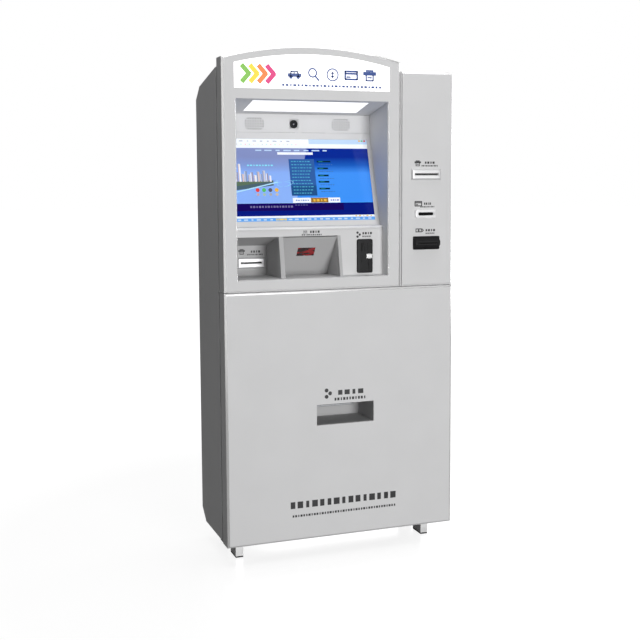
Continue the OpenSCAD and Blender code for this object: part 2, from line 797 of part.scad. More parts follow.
// Walls of the two pockets
module pocket_liner() {
    color("#919395") place() {
        difference() {
            fin(pocket1_x1, pocket2_x0, receipt_pocket_y + sheet);
            box([0, device_y, 0], [cab_w, device_y + sheet, crown_z]);
        }
        difference() {
            fin(pocket2_x1, coin_panel_x, device_y);
            box([0, device_y, 0], [cab_w, device_y + 9, crown_z]);
        }
        box([pocket2_x1 - 1.5, device_y + sheet, floor_z], [pocket2_x1, scanner_pocket_y + 4, pocket_z1]);
        along_x(wall_x0, pocket1_x1) polygon([[device_y + sheet, pocket_z1], [receipt_pocket_y, receipt_pocket_z],
            [receipt_pocket_y, receipt_pocket_z + sheet], [device_y + sheet, pocket_z1 + sheet]]);
        difference() {
            box([wall_x0, receipt_pocket_y, floor_z], [pocket1_x1, receipt_pocket_y + sheet, receipt_pocket_z + sheet]);
            plate_y(receipt_pocket_y - 1, receipt_pocket_y + 3, receipt_x, receipt_z, printer_bezel_w - 20, printer_bezel_h - 14, 1);
        }
        difference() {
            along_x(pocket2_x0, pocket2_x1 - 1.5) polygon([[device_y + sheet, pocket_z1 - sheet * 1.4],
                [scanner_pocket_y, floor_z], [scanner_pocket_y + 3, floor_z], [device_y + sheet + 3, pocket_z1 - sheet * 1.4]]);
            on_scan_wall() box([-window_w / 2, -5, -window_h / 2], [window_w / 2, 8, window_h / 2]);
        }
    }
}

// Frame on the scanner pocket's sloping wall: z runs up the wall and y into it
module on_scan_wall() {
    translate([scan_x, device_y + scan_dy * window_s / norm([scan_dy, scan_dz]),
        pocket_z1 - scan_dz * window_s / norm([scan_dy, scan_dz])])
        rotate([scan_a, 0, 0]) children();
}

// Dark red window of the code scanner with its pale rim
module scanner_window() {
    color("#5a1015") place() on_scan_wall() {
        box([-window_w / 2 + gap, 0.4, -window_h / 2 + gap], [window_w / 2 - gap, 4, window_h / 2 - gap]);
        box([-window_w / 2 - 5, 3.2, -window_h / 2 - 5], [window_w / 2 + 5, 5, window_h / 2 + 5]);
    }
}

module scanner_module() {
    color("#3a3b3e") place() on_scan_wall()
        box([-window_w / 2 - 4, 5, -window_h / 2 - 4], [window_w / 2 + 4, 38, window_h / 2 + 4]);
}

// Steel mouth of a printer with a slot between two side blocks
module printer_bezel(x, y, z, w, proud) {
    difference() {
        union() {
            plate_y(y - 2, y, x, z, w, printer_bezel_h, 1.5);
            plate_y(y - proud, y - 2, x, z + 8, w - 10, 12, 1.5);
            for (s = [-1, 1]) box([x + s * (w / 2 - 11) - 5, y - proud, z - 13], [x + s * (w / 2 - 11) + 5, y - 2, z + 3]);
        }
        box([x - roll_w / 2 - 1, y - proud - 1, z - 1], [x + roll_w / 2 + 1, y + 1, z + 2]);
    }
}

module receipt_bezel() {
    color(steel) place() printer_bezel(receipt_x, receipt_pocket_y, receipt_z, printer_bezel_w - 12, 8);
}

// Printer chassis: two side plates on a base with a front bar and the roll's spindle
module printer_chassis(x, y, z) {
    z0 = z - 34;
    difference() {
        union() {
            for (s = [-1, 1]) box([x + s * (printer_w / 2 - side_t / 2) - side_t / 2, y, z0],
                [x + s * (printer_w / 2 - side_t / 2) + side_t / 2, y + printer_d, z0 + printer_h]);
            box([x - printer_w / 2, y, z0 - 2], [x + printer_w / 2, y + printer_d, z0]);
            box([x - printer_w / 2 + side_t, y, z - 9], [x + printer_w / 2 - side_t, y + 3, z - 3]);
            bar_x(x - printer_w / 2 + side_t, x + printer_w / 2 - side_t, y + roll_dy(), z + roll_dz(), spindle_r);
        }
        bar_x(x - printer_w / 2 - 1, x + printer_w / 2 + 1, y + platen_dy(), z + 1, 3 + run);
    }
}

function roll_dy() = printer_d - roll_r - 10;
function roll_dz() = 20;
function platen_dy() = 22;

module paper_roll(x, y, z) {
    difference() {
        bar_x(x - roll_w / 2, x + roll_w / 2, y + roll_dy(), z + roll_dz(), roll_r);
        bar_x(x - roll_w, x + roll_w, y + roll_dy(), z + roll_dz(), spindle_r + run);
    }
}

// Rubber platen roller with its shaft in the side plates
module platen(x, y, z) {
    bar_x(x - printer_w / 2 - 3, x + printer_w / 2 + 3, y + platen_dy(), z + 1, 3);
    bar_x(x - roll_w / 2 - 2, x + roll_w / 2 + 2, y + platen_dy(), z + 1, platen_r);
}

function receipt_y() = receipt_pocket_y + sheet;

module receipt_printer() { color("#3c3d40") place() printer_chassis(receipt_x, receipt_y(), receipt_z); }

module receipt_roll() { color("white") place() paper_roll(receipt_x, receipt_y(), receipt_z); }

module receipt_platen() { color(rubber_black) place() platen(receipt_x, receipt_y(), receipt_z); }

// Black bezel of the coin acceptor with its slot, return cup and button opening
module coin_bezel() {
    color(black_plastic) place() difference() {
        union() {
            plate_y(device_y - coin_proud, device_y, coin_x, coin_z, coin_w, coin_h, 5);
            plate_y(device_y, device_y + 6, coin_x, coin_z, coin_w - 9, coin_h - 9, 2.5);
        }
        box([coin_x - 14, device_y - coin_proud - 1, coin_z + 16], [coin_x - 10.4, device_y + 7, coin_z + 46]);
        button_cap(gap, device_y + gap);
        button_stem(gap, device_y + 7);
        box([coin_x - 16, device_y - coin_proud - 1, coin_z - 50], [coin_x + 16, device_y - 3, coin_z - 26]);
    }
}

// Front of the return button, grown by a margin
module button_cap(m, y1) {
    box([coin_x + 7 - m, device_y - coin_proud - button_travel - 0.5, coin_z - 7.5 - m],
        [coin_x + 25.7 + m, y1, coin_z + 6.5 + m]);
}

// Stem of the return button, grown by a margin
module button_stem(m, y1) {
    box([coin_x + 9 - m, device_y - button_travel - 1, coin_z - 5 - m], [coin_x + 21 + m, y1, coin_z + 4 + m]);
}

// White return button; its collar stays behind the bezel's plug
module coin_return_button() {
    color("white") place() {
        button_cap(0, device_y - button_travel - 0.5);
        button_stem(0, device_y + 7);
        box([coin_x + 6, device_y + 6 + gap, coin_z - 8], [coin_x + 24, device_y + 8, coin_z + 7]);
    }
}

// Coin acceptor behind the panel, on the bezel's plug
module coin_acceptor() {
    color("#2c2d30") place() difference() {
        box([coin_x - 27, device_y + 6, coin_z - 50], [coin_x + 27, device_y + 88, coin_z + 52]);
        box([coin_x + 5, device_y + 5, coin_z - 9], [coin_x + 25, device_y + 8.5 + button_travel, coin_z + 8]);
        box([coin_x - 14, device_y + 5, coin_z + 16], [coin_x - 10.4, device_y + 60, coin_z + 46]);
    }
}

// ---------------------------------------------------------------- sign

// Translucent sign panel: the window's plug and a rim behind the skin
module sign_panel() {
    color("white") place() {
        along_y(0.5, sheet) sign_outline(-gap);
        along_y(sheet, sheet + 3) sign_outline(6);
    }
}

module sign_light_box() {
    color(zinc) place() difference() {
        along_y(sheet + 3, 54) sign_outline(6);
        along_y(sheet + 2, 52.5) sign_outline(4.5);
    }
}

// ---------------------------------------------------------------- column door

module column_door_shell() {
    color(front_grey) place() {
        door_skin(column_x, cab_w, upper_z, column_top, square_left = true) {
            plate_y(-1, 5, device_x, invoice_z, printer_bezel_w - 20, printer_bezel_h - 14, 1);
            plate_y(-1, 5, device_x - 3, card_z, card_w - 12, card_h - 8, 1);
            plate_y(-1, 5, device_x + 1.7, note_z, note_w - 10, note_h - 8, 1);
        }
        right_hinges(hinge_zs_upper) door_knuckle();
        latch_bracket(column_latch_x);
    }
}

module column_latch() { color(zinc) place() latch(column_latch_x); }

module invoice_bezel() {
    color(steel) place() printer_bezel(device_x, 0, invoice_z, printer_bezel_w, 8);
}

module invoice_printer() { color("#3c3d40") place() printer_chassis(device_x, sheet, invoice_z); }

module invoice_roll() { color("white") place() paper_roll(device_x, sheet, invoice_z); }

// Card reader: bezel with a slot, and the reader's body on its plug
module card_reader() {
    x = device_x - 3;
    color("#d9dadb") place() difference() {
        union() {
            plate_y(-8, 0, x, card_z, card_w, card_h, 3);
            plate_y(0, sheet + 4, x, card_z, card_w - 13, card_h - 9, 1);
            box([x - 35, sheet, card_z - 20], [x + 35, 112, card_z + 22]);
        }
        box([x - 28, -9, card_z - 2], [x + 28, 90, card_z + 1.5]);
        plate_y(-9, -4, x, card_z, card_w - 16, 13, 2);
    }
}

// Banknote bezel: a rounded nose over the slot and a tongue under it
module banknote_bezel() {
    x = device_x + 1.7;
    color(black_plastic) place() difference() {
        union() {
            plate_y(-6, 0, x, note_z, note_w, note_h, 4);
            plate_y(0, sheet + 4, x, note_z, note_w - 11, note_h - 9, 1);
            along_x(x - note_w / 2 + 5, x + note_w / 2 - 5) polygon([[-6, note_z - 18], [-note_nose + 3, note_z - 9],
                [-note_nose, note_z - 5], [-note_nose, note_z + 4], [-note_nose + 4, note_z + 9], [-6, note_z + 18]]);
        }
        box([x - 38, -note_nose - 1, note_z - 3], [x + 38, sheet + 5, note_z + 1]);
    }
}

// Validator head with the two rails that carry its cashbox
module banknote_acceptor() {
    x = device_x + 1.7;
    color("#2c2d30") place() {
        box([x - 46, sheet + 4, note_z - 32], [x + 46, 112, note_z + 30]);
        for (s = [-1, 1]) box([x + s * 43 - 1.5, 20, note_z - 50], [x + s * 43 + 1.5, 112, note_z - 32]);
        for (s = [-1, 1]) box([x + s * 43 - (s > 0 ? 6.5 : 1.5), 20, note_z - 52], [x + s * 43 + (s > 0 ? 1.5 : 6.5), 112, note_z - 50]);
    }
}

// Cashbox hung on the rails; it slides to the back
module banknote_cashbox() {
    x = device_x + 1.7;
    z1 = note_z - 32 - gap;
    color("#4a4b4f") place() {
        difference() {
            box([x - 36, 22, upper_z + 48], [x + 36, 114, z1]);
            box([x - 34, 24, upper_z + 50], [x + 34, 112, z1 - 2]);
        }
        for (s = [-1, 1]) box([x + s * 38.5 - 2.5, 22, note_z - 50 + gap], [x + s * 38.5 + 2.5, 114, note_z - 46]);
        difference() {
            box([x - 20, 114, upper_z + 70], [x + 20, 126, upper_z + 80]);
            box([x - 15, 113, upper_z + 69], [x + 15, 121, upper_z + 81]);
        }
    }
}

// ---------------------------------------------------------------- lower door

module lower_door_shell() {
    color(front_grey) place() {
        door_skin(0, cab_w, 0, lower_h) {
            box([tray_x, -1, tray_z], [tray_x + tray_w, 5, tray_z + tray_h]);
            bar_x(cab_w - 5, cab_w + 1, lock_y, lock_z, barrel_r + gap);
        }
        left_hinges(hinge_zs_lower) door_knuckle();
    }
}

// Open tray where coins are paid out, with the mouth of the chute in its back
module coin_tray() {
    color("#8f9092") place() difference() {
        box([tray_x - sheet, sheet, tray_z - sheet], [tray_x + tray_w + sheet, tray_d + sheet, tray_z + tray_h + sheet]);
        box([tray_x, -1, tray_z], [tray_x + tray_w, tray_d, tray_z + tray_h]);
        box([tray_x + 20, tray_d - 1, tray_z + 34], [tray_x + tray_w - 20, tray_d + 5, tray_z + tray_h - 8]);
    }
}

// Barrel and nut of the key lock in the lower door's side
module door_lock() {
    color(steel) place() difference() {
        union() {
            bar_x(lock_x + 6, cab_w, lock_y, lock_z, barrel_r);
            translate([cab_w - sheet - 5, lock_y, lock_z]) rotate([0, 90, 0]) cylinder(r = barrel_r + 5, h = 5, $fn = 6);
        }
        box([cab_w - 3, lock_y - 0.8, lock_z - 4], [cab_w + 1, lock_y + 0.8, lock_z + 4]);
        bar_x(lock_x + 5, lock_x + 18, lock_y, lock_z, 3 + run);
    }
}

// Hook cam on the barrel's spindle; it points up when open and drops behind the frame's pin
module lock_cam() {
    color(zinc) place() translate([0, lock_y, lock_z]) {
        bar_x(lock_x + 3, lock_x + 16, 0, 0, 3);
        difference() {
            along_x(lock_x, lock_x + 3) {
                circle(9);
                translate([-7, 0]) square([14, strike_reach + 14]);
            }
            translate([0, 0, strike_reach]) box([lock_x - 1, -0.5, -5], [lock_x + 4, 9, 5]);
        }
    }
}

// ---------------------------------------------------------------- coin system

function hopper_x() = tray_x + tray_w / 2;
function hopper_y() = tray_d + 12;

// Shelf between the side panels with the outlets under the hoppers
module hopper_shelf() {
    color(zinc) place() difference() {
        union() {
            box([sheet, body_y + 22, shelf_z - 2], [cab_w - sheet, cab_d - sheet, shelf_z]);
            box([sheet, body_y + 22, shelf_z - 22], [cab_w - sheet, body_y + 24, shelf_z - 2]);
        }
        hopper_outlets(shelf_z - 3, shelf_z + 1);
    }
}

module hopper_outlets(z0, z1) {
    for (s = [-1, 1])
        box([hopper_x() + s * (hopper_w / 2 + 3) - 22, hopper_y() + 20, z0],
            [hopper_x() + s * (hopper_w / 2 + 3) + 22, hopper_y() + 50, z1]);
}

// Sheet tray that the hoppers stand on; it slides forward on the shelf
module hopper_tray() {
    x0 = hopper_x() - hopper_w - 10;
    x1 = hopper_x() + hopper_w + 10;
    color(steel) place() difference() {
        union() {
            box([x0, hopper_y(), shelf_z + gap], [x1, hopper_y() + hopper_d + 4, shelf_z + gap + 2]);
            for (x = [x0, x1 - 2]) box([x, hopper_y(), shelf_z + gap], [x + 2, hopper_y() + hopper_d + 4, shelf_z + 22]);
            box([hopper_x() - 30, hopper_y() - 14, shelf_z + 4], [hopper_x() + 30, hopper_y() - 12, shelf_z + 16]);
            for (s = [-1, 1]) box([hopper_x() + s * 29 - 1, hopper_y() - 12, shelf_z + gap], [hopper_x() + s * 29 + 1, hopper_y(), shelf_z + 16]);
        }
        hopper_outlets(shelf_z - 1, shelf_z + 5);
    }
}

// Two coin hoppers: base with the motor, and an open bowl above it
module coin_hoppers() {
    color("#35363a") place() for (s = [-1, 1]) {
        x = hopper_x() + s * (hopper_w / 2 + 3);
        z = shelf_z + gap + 2;
        difference() {
            box([x - hopper_w / 2, hopper_y() + 2, z], [x + hopper_w / 2, hopper_y() + 2 + hopper_d, z + hopper_h]);
            box([x - hopper_w / 2 + 3, hopper_y() + 5, z + 70], [x + hopper_w / 2 - 3, hopper_y() - 1 + hopper_d, z + hopper_h + 1]);
            box([x - 22, hopper_y() + 20, z - 1], [x + 22, hopper_y() + 50, z + 60]);
        }
    }
}

// Sloping chute from the shelf's outlets to the coin tray
module coin_chute() {
    x0 = hopper_x() - hopper_w - 2;
    x1 = hopper_x() + hopper_w + 2;
    y1 = hopper_y() + 56;
    y0 = tray_d + sheet + 2;
    mouth = tray_z + 34;
    color(zinc) place() difference() {
        along_x(x0, x1) polygon([[y0, mouth], [y1, shelf_z - 40], [y1, shelf_z - 2], [y0 + 8, shelf_z - 2], [y0, mouth + 30]]);
        along_x(x0 + sheet, x1 - sheet) polygon([[y0 - 1, mouth + sheet], [y1 - sheet, shelf_z - 40 + sheet],
            [y1 - sheet, shelf_z], [y0 + 10, shelf_z], [y0 + sheet, mouth + 28], [y0 - 1, mouth + 28]]);
    }
}

// Lockable coin cashbox with a lid and a folding grip, standing on the base
module coin_cashbox() {
    x = hopper_x();
    y0 = cab_d - bend_d - 4 - cashbox_d;
    z0 = base_z + base_t + gap;
    color("#54565a") place() {
        difference() {
            box([x - cashbox_w / 2, y0, z0], [x + cashbox_w / 2, y0 + cashbox_d, z0 + cashbox_h - 6]);
            box([x - cashbox_w / 2 + 2, y0 + 2, z0 + 2], [x + cashbox_w / 2 - 2, y0 + cashbox_d - 2, z0 + cashbox_h]);
        }
        difference() {
            box([x - cashbox_w / 2 - 2, y0 - 2, z0 + cashbox_h - 6], [x + cashbox_w / 2 + 2, y0 + cashbox_d + 2, z0 + cashbox_h]);
            box([x - 55, y0 + 60, z0 + cashbox_h - 7], [x + 55, y0 + 64, z0 + cashbox_h + 1]);
        }
        difference() {
            box([x - 45, y0 - 14, z0 + 110], [x + 45, y0, z0 + 122]);
            box([x - 38, y0 - 9, z0 + 109], [x + 38, y0, z0 + 123]);
        }
    }
}

// ---------------------------------------------------------------- rear services

// Computer's case with cooling ribs and mounting flanges on the rear panel
module industrial_pc() {
    x = cab_w * 0.3;
    z = 1090;
    y1 = cab_d - sheet;
    color("#3f4145") place() {
        box([x - pc_w / 2, y1 - pc_d + 12, z], [x + pc_w / 2, y1, z + pc_h]);
        for (i = [0:11]) box([x - pc_w / 2 + 8 + i * (pc_w - 20) / 11, y1 - pc_d, z],
            [x - pc_w / 2 + 12 + i * (pc_w - 20) / 11, y1 - pc_d + 12, z + pc_h]);
        for (s = [-1, 1]) box([x + s * (pc_w / 2 + 8) - 8, y1 - 2, z + 20], [x + s * (pc_w / 2 + 8) + 8, y1, z + pc_h - 20]);
    }
}

module power_supply() {
    x = cab_w * 0.72;
    y1 = cab_d - sheet;
    color(steel) place() {
        box([x - 60, y1 - 42, 1110], [x + 60, y1, 1310]);
        for (s = [-1, 1]) box([x - 60, y1 - 2, 1210 + s * 108 - 8], [x + 60, y1, 1210 + s * 108 + 8]);
    }
}

// Square fan frame with a spider that carries the rotor's pin
module fan_frame() {
    y1 = cab_d - sheet;
    y0 = y1 - fan_t;
    color(rubber_black) place() translate([cab_w / 2, 0, fan_z]) {
        difference() {
            box([-fan_w / 2, y0, -fan_w / 2], [fan_w / 2, y1, fan_w / 2]);
            bar_y(y0 - 1, y1 + 1, 0, 0, fan_w / 2 - 3);
        }
        bar_y(y0, y0 + 3, 0, 0, 20);
        for (a = [45:90:315]) rotate([0, a, 0]) box([15, y0, -2], [fan_w / 2 - 2, y0 + 3, 2]);
        bar_y(y0 + 3, y0 + 18, 0, 0, 2);
    }
}

// Rotor: hub and seven pitched blades
module fan_rotor() {
    y0 = cab_d - sheet - fan_t;
    color("#2f3033") place() translate([cab_w / 2, 0, fan_z]) {
        difference() {
            bar_y(y0 + 3.5, y0 + 20, 0, 0, 19);
            bar_y(y0 + 3, y0 + 18.5, 0, 0, 2 + run);
        }
        for (i = [0:6]) rotate([0, i * 360 / 7, 0]) translate([36, y0 + 12, 0]) rotate([35, 0, 0])
            cube([38, 1.6, 22], center = true);
    }
}

// ---------------------------------------------------------------- feet

module foot_places() {
    for (x = [foot_x, cab_w - foot_x - foot_w], y = [foot_y, cab_d - bend_d - 8 - foot_d])
        translate([x, y, 0]) children();
}

module feet() {
    color(zinc) place() foot_places() difference() {
        box([0, 0, pad_t - foot_h], [foot_w, foot_d, base_z]);
        box([3, 3, pad_t - foot_h + 3], [foot_w - 3, foot_d - 3, base_z - 3]);
    }
}

module foot_pads() {
    color(rubber_black) place() foot_places() box([0, 0, -foot_h], [foot_w, foot_d, pad_t - foot_h]);
}

left_side_panel();
right_side_panel();
roof_panel();
rear_panel();
base_plate();
front_frame();
centre_post();
door_seals();
cabinet_hinges();
hinge_pins();
feet();
foot_pads();
hopper_shelf();
coin_chute();
hopper_tray();
coin_hoppers();
coin_cashbox();
industrial_pc();
power_supply();
cable_gland();
fan_frame();
fan_rotor();
panel_screws();
upper_door_shell();
bay_side_panels();
bay_ceiling();
downlight();
speaker_panel();
speakers();
camera();
monitor_panel();
touch_glass();
display_module();
device_panel();
pocket_liner();
scanner_window();
scanner_module();
receipt_bezel();
receipt_printer();
receipt_roll();
receipt_platen();
coin_bezel();
coin_acceptor();
coin_return_button();
sign_panel();
sign_light_box();
upper_latch();
column_door_shell();
invoice_bezel();
invoice_printer();
invoice_roll();
card_reader();
banknote_bezel();
banknote_acceptor();
banknote_cashbox();
column_latch();
lower_door_shell();
coin_tray();
door_lock();
lock_cam();
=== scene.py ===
"""Dresses a free-standing parking pay station: paint, screen page, sign, device bezels, marks and studio."""
import json
import math

import bmesh
import bpy
from bpy.props import FloatProperty, FloatVectorProperty, IntProperty, PointerProperty
from mathutils import Matrix, Vector


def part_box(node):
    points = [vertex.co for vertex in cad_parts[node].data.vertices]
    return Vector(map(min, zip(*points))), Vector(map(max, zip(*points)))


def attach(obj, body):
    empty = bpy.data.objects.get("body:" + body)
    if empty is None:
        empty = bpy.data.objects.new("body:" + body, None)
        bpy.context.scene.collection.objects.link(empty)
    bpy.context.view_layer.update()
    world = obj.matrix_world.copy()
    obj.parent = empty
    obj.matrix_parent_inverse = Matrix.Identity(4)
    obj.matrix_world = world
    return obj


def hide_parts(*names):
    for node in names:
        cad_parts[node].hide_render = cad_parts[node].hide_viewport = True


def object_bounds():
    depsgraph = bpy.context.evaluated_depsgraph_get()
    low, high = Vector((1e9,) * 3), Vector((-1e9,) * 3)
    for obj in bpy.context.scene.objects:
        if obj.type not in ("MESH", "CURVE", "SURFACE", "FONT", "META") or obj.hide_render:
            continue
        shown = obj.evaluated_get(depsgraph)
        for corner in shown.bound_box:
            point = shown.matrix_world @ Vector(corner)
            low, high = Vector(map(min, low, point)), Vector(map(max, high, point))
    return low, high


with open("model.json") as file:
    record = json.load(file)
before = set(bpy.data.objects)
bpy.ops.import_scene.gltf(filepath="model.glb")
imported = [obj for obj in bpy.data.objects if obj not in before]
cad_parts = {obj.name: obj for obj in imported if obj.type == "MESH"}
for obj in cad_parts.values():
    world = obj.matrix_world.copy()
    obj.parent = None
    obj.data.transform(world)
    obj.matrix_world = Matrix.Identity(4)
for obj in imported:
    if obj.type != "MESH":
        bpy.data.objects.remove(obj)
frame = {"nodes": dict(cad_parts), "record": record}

bl_info = {
    "name": "Pay Station Dresser",
    "version": (1, 0, 0),
    "blender": (4, 5, 0),
    "location": "3D View > Sidebar > Pay Station",
    "description": "Gives a CAD pay station its finishes, screen, sign, bezels, marks and studio",
    "category": "Object",
}

NODES = frame["nodes"]
CAD_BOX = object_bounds()
MM = 0.001
UP = Vector((0, 0, 1))

# ---- places read from the frame

DOOR_LOW, DOOR_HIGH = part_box("lower_door_shell")
DOOR_FRONT = DOOR_LOW.y
SHEET = 2 * MM
# Height of ink, film and screen tiles over what they lie on
FILM = 0.15 * MM
# Points nearer than this are one point, and edges nearer than NEAR to a plane lie on it
MERGE = 0.00001
NEAR = 0.1 * MM


def middle(node):
    """Centre of a CAD node's box."""
    low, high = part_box(node)
    return (low + high) / 2


def box_and_middle(node):
    """A CAD node's two corners, and the X and Z of its middle."""
    low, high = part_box(node)
    return low, high, (low.x + high.x) / 2, (low.z + high.z) / 2


# ---- settings


def number_setting(label, words, default, top=1.0):
    """A plain number in the sidebar, from nought up to a limit."""
    return FloatProperty(name=label, description=words, default=default, min=0.0, max=top)


def turn_setting(label, words, degrees):
    """An angle in the sidebar."""
    return FloatProperty(name=label, description=words, default=math.radians(degrees), subtype="ANGLE")


def size_setting(label, words, default):
    """A length in the sidebar, in metres."""
    return FloatProperty(name=label, description=words, default=default, min=0.0, unit="LENGTH", precision=5)


def colour_setting(label, words, default):
    """A linear colour in the sidebar."""
    return FloatVectorProperty(
        name=label, description=words, default=default, subtype="COLOR", size=3, min=0.0, max=1.0
    )


class StationPaint(bpy.types.PropertyGroup):
    """Colours and grain of the finishes."""

    coat: colour_setting("Coat", "Silver-grey powder coat of all sheet steel", (0.68, 0.68, 0.685))
    coat_metal: number_setting("Coat flake", "Share of metal flake in the powder coat", 0.0)
    coat_rough: number_setting("Coat roughness", "Roughness of the powder coat", 0.65)
    coat_grain: size_setting("Coat grain", "Width of the powder coat's orange peel", 1.6 * MM)
    black: colour_setting("Black plastic", "Moulded device bezels", (0.008, 0.008, 0.009))
    ink: colour_setting("Ink", "Marks printed beside the devices", (0.02, 0.02, 0.022))
    navy: colour_setting("Navy", "Pictograms on the sign", (0.012, 0.06, 0.28))


class StationSizes(bpy.types.PropertyGroup):
    """Sizes of the pieces that dress the frame."""

    fold: size_setting("Fold radius", "Radius along the bends of the sheet parts", 0.8 * MM)
    bezel_corner: size_setting("Bezel corner", "Corner radius of the coin bezel", 6 * MM)
    bezel_edge: size_setting("Bezel edge", "Rounded front edge of the moulded bezels", 1.4 * MM)
    ridge: size_setting("Ridge", "Height of the ridges on the coin bezel", 1.2 * MM)
    lens: size_setting("Lens", "Radius of the camera's lens", 6.2 * MM)
    mark: size_setting("Mark", "Height of the pictograms beside the devices", 20 * MM)
    note_ribs: IntProperty(name="Ribs", description="Ribs on the banknote lip", default=15, min=3, max=40)


class StationStudio(bpy.types.PropertyGroup):
    """Camera and lights."""

    azimuth: turn_setting("Azimuth", "Camera's bearing from the object", -20.558)
    distance: size_setting("Distance", "Horizontal distance of the camera from the origin", 3.78992)
    height: size_setting("Height", "Height of the camera over the floor", 1.3037)
    heading: turn_setting("Heading", "Camera's turn about the vertical", -19.817)
    tilt: turn_setting("Tilt", "Camera's tilt below the horizon", 5.645)
    roll: turn_setting("Roll", "Camera's roll", -0.3254)
    lens: number_setting("Lens", "Focal length in millimetres", 58.97, 300)
    shift: FloatVectorProperty(
        name="Shift", description="Lens shift across and up the view", default=(0.0122, -0.0473),
        size=2, precision=4,
    )
    key: number_setting("Key", "Power of the front softbox in watts", 345, 5000)
    top: number_setting("Top", "Power of the overhead softbox in watts", 62, 5000)
    rim: number_setting("Rim", "Power of the left strip light in watts", 10, 5000)
    back: number_setting("Back", "Power of the softbox behind in watts", 40, 5000)
    right: number_setting("Right", "Power of the softbox on the right in watts", 40, 5000)
    ambient: number_setting("Ambient", "Brightness of the room", 0.065)


# ---- modelling helpers


def clear_selection():
    """Object mode with nothing selected."""
    if bpy.context.mode != "OBJECT":
        leave_edit()
    bpy.ops.object.select_all(action="DESELECT")


def apply_place():
    """Moves an object's place, turn and scale into its mesh."""
    bpy.ops.object.transform_apply(location=True, rotation=True, scale=True)


def leave_edit():
    """Back to object mode."""
    bpy.ops.object.mode_set(mode="OBJECT")


def carry_to(piece, carry):
    """Carries a piece modelled at the origin to its place."""
    piece.matrix_world = carry
    apply_place()


def start_block(name, low, high):
    """Begins a piece as a block between two corners, in edit mode."""
    clear_selection()
    low, high = Vector(low), Vector(high)
    bpy.ops.mesh.primitive_cube_add(size=1, location=(low + high) / 2, scale=high - low)
    return into_edit(name)


def start_disc(name, centre, radius, depth, sides=48):
    """Begins a piece as a drum whose axis runs along Y, in edit mode."""
    clear_selection()
    bpy.ops.mesh.primitive_cylinder_add(
        vertices=sides, radius=radius, depth=depth, location=centre, rotation=(math.pi / 2, 0, 0)
    )
    return into_edit(name)


def into_edit(name):
    """Names the new primitive, applies its place and opens it in edit mode."""
    piece = bpy.context.object
    piece.name = piece.data.name = name
    apply_place()
    bpy.ops.object.mode_set(mode="EDIT")
    return piece


def pick_faces(test):
    """Selects the faces whose centre and normal pass a test."""
    bpy.ops.mesh.select_mode(type="FACE")
    bpy.ops.mesh.select_all(action="DESELECT")
    mesh = bpy.context.object.data
    shape = bmesh.from_edit_mesh(mesh)
    for face in shape.faces:
        face.select_set(bool(test(face.calc_center_median(), face.normal)))
    bmesh.update_edit_mesh(mesh)


def pick_edges(test):
    """Selects the edges whose middle and direction pass a test."""
    bpy.ops.mesh.select_mode(type="EDGE")
    bpy.ops.mesh.select_all(action="DESELECT")
    mesh = bpy.context.object.data
    shape = bmesh.from_edit_mesh(mesh)
    for edge in shape.edges:
        a, b = (v.co for v in edge.verts)
        edge.select_set(bool(test((a + b) / 2, (b - a).normalized())))
    bmesh.update_edit_mesh(mesh)


def round_edges(width, segments, test):
    """Bevels the edges that pass a test."""
    pick_edges(test)
    bpy.ops.mesh.bevel(offset=width, offset_type="OFFSET", segments=segments, affect="EDGES")


def along(direction, axis):
    """True if a direction runs along an axis, either way."""
    return abs(direction[axis]) > 0.99


def pick_front():
    """Selects the faces that look forward."""
    pick_faces(lambda c, n: n.y < -0.9)


def pick_back():
    """Selects the faces that look back."""
    pick_faces(lambda c, n: n.y > 0.9)


def round_corners(width, segments):
    """Bevels the edges that run along Y."""
    round_edges(width, segments, lambda c, d: along(d, 1))


def inset(thickness, depth=0.0):
    """Insets the selected faces; a positive depth raises them and a negative one sinks them."""
    bpy.ops.mesh.inset(thickness=thickness, depth=depth)


def push(x, y, z):
    """Extrudes the selected faces along a vector."""
    bpy.ops.mesh.extrude_region_move(TRANSFORM_OT_translate={"value": (x, y, z)})


def push_front(thickness, depth):
    """Insets the selected faces and moves the inner ones back along Y."""
    inset(thickness)
    push(0, depth, 0)


def score(place, normal):
    """Cuts a line round the whole shape where a plane passes."""
    bpy.ops.mesh.select_all(action="SELECT")
    bpy.ops.mesh.bisect(plane_co=place, plane_no=normal)


def sink(low_x, high_x, low_z, high_z, depth):
    """Sinks a rectangle of the front faces by a depth."""
    for x in (low_x, high_x):
        score((x, 0, 0), (1, 0, 0))
    for z in (low_z, high_z):
        score((0, 0, z), (0, 0, 1))
    pick_faces(lambda c, n: n.y < 0.5 and low_x < c.x < high_x and low_z < c.z < high_z)
    push(0, depth, 0)


def close_piece(piece, finish, body, *nodes, slot=None, angle=35.0):
    """Ends a piece: clean mesh, normals, finish, body and the CAD nodes that it stands for; its slot argument
    is not used.
    """
    if bpy.context.mode != "EDIT_MESH":
        bpy.ops.object.mode_set(mode="EDIT")
    bpy.ops.mesh.select_all(action="SELECT")
    bpy.ops.mesh.remove_doubles(threshold=MERGE)
    bpy.ops.mesh.normals_make_consistent(inside=False)
    leave_edit()
    bpy.ops.object.shade_smooth_by_angle(angle=math.radians(angle))
    piece.data.materials.clear()
    piece.data.materials.append(MATERIALS[finish])
    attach(piece, body)
    if nodes:
        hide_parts(*nodes)
    return piece


def join_pieces(name, parts):
    """Joins parts into one object at the origin."""
    clear_selection()
    for part in parts:
        part.select_set(True)
    bpy.context.view_layer.objects.active = parts[0]
    if len(parts) > 1:
        bpy.ops.object.join()
    joined = bpy.context.object
    joined.name = joined.data.name = name
    apply_place()
    return joined


# ---- flat marks

# A mark is drawn on the plane of X and Z, in millimetres, as a list of these shapes,
# and then carried to its place.


def bar(x, z, width, height, colour, turn=0.0, layer=0):
    """A flat bar about its centre."""
    return ("bar", x, z, width, height, colour, turn, layer)


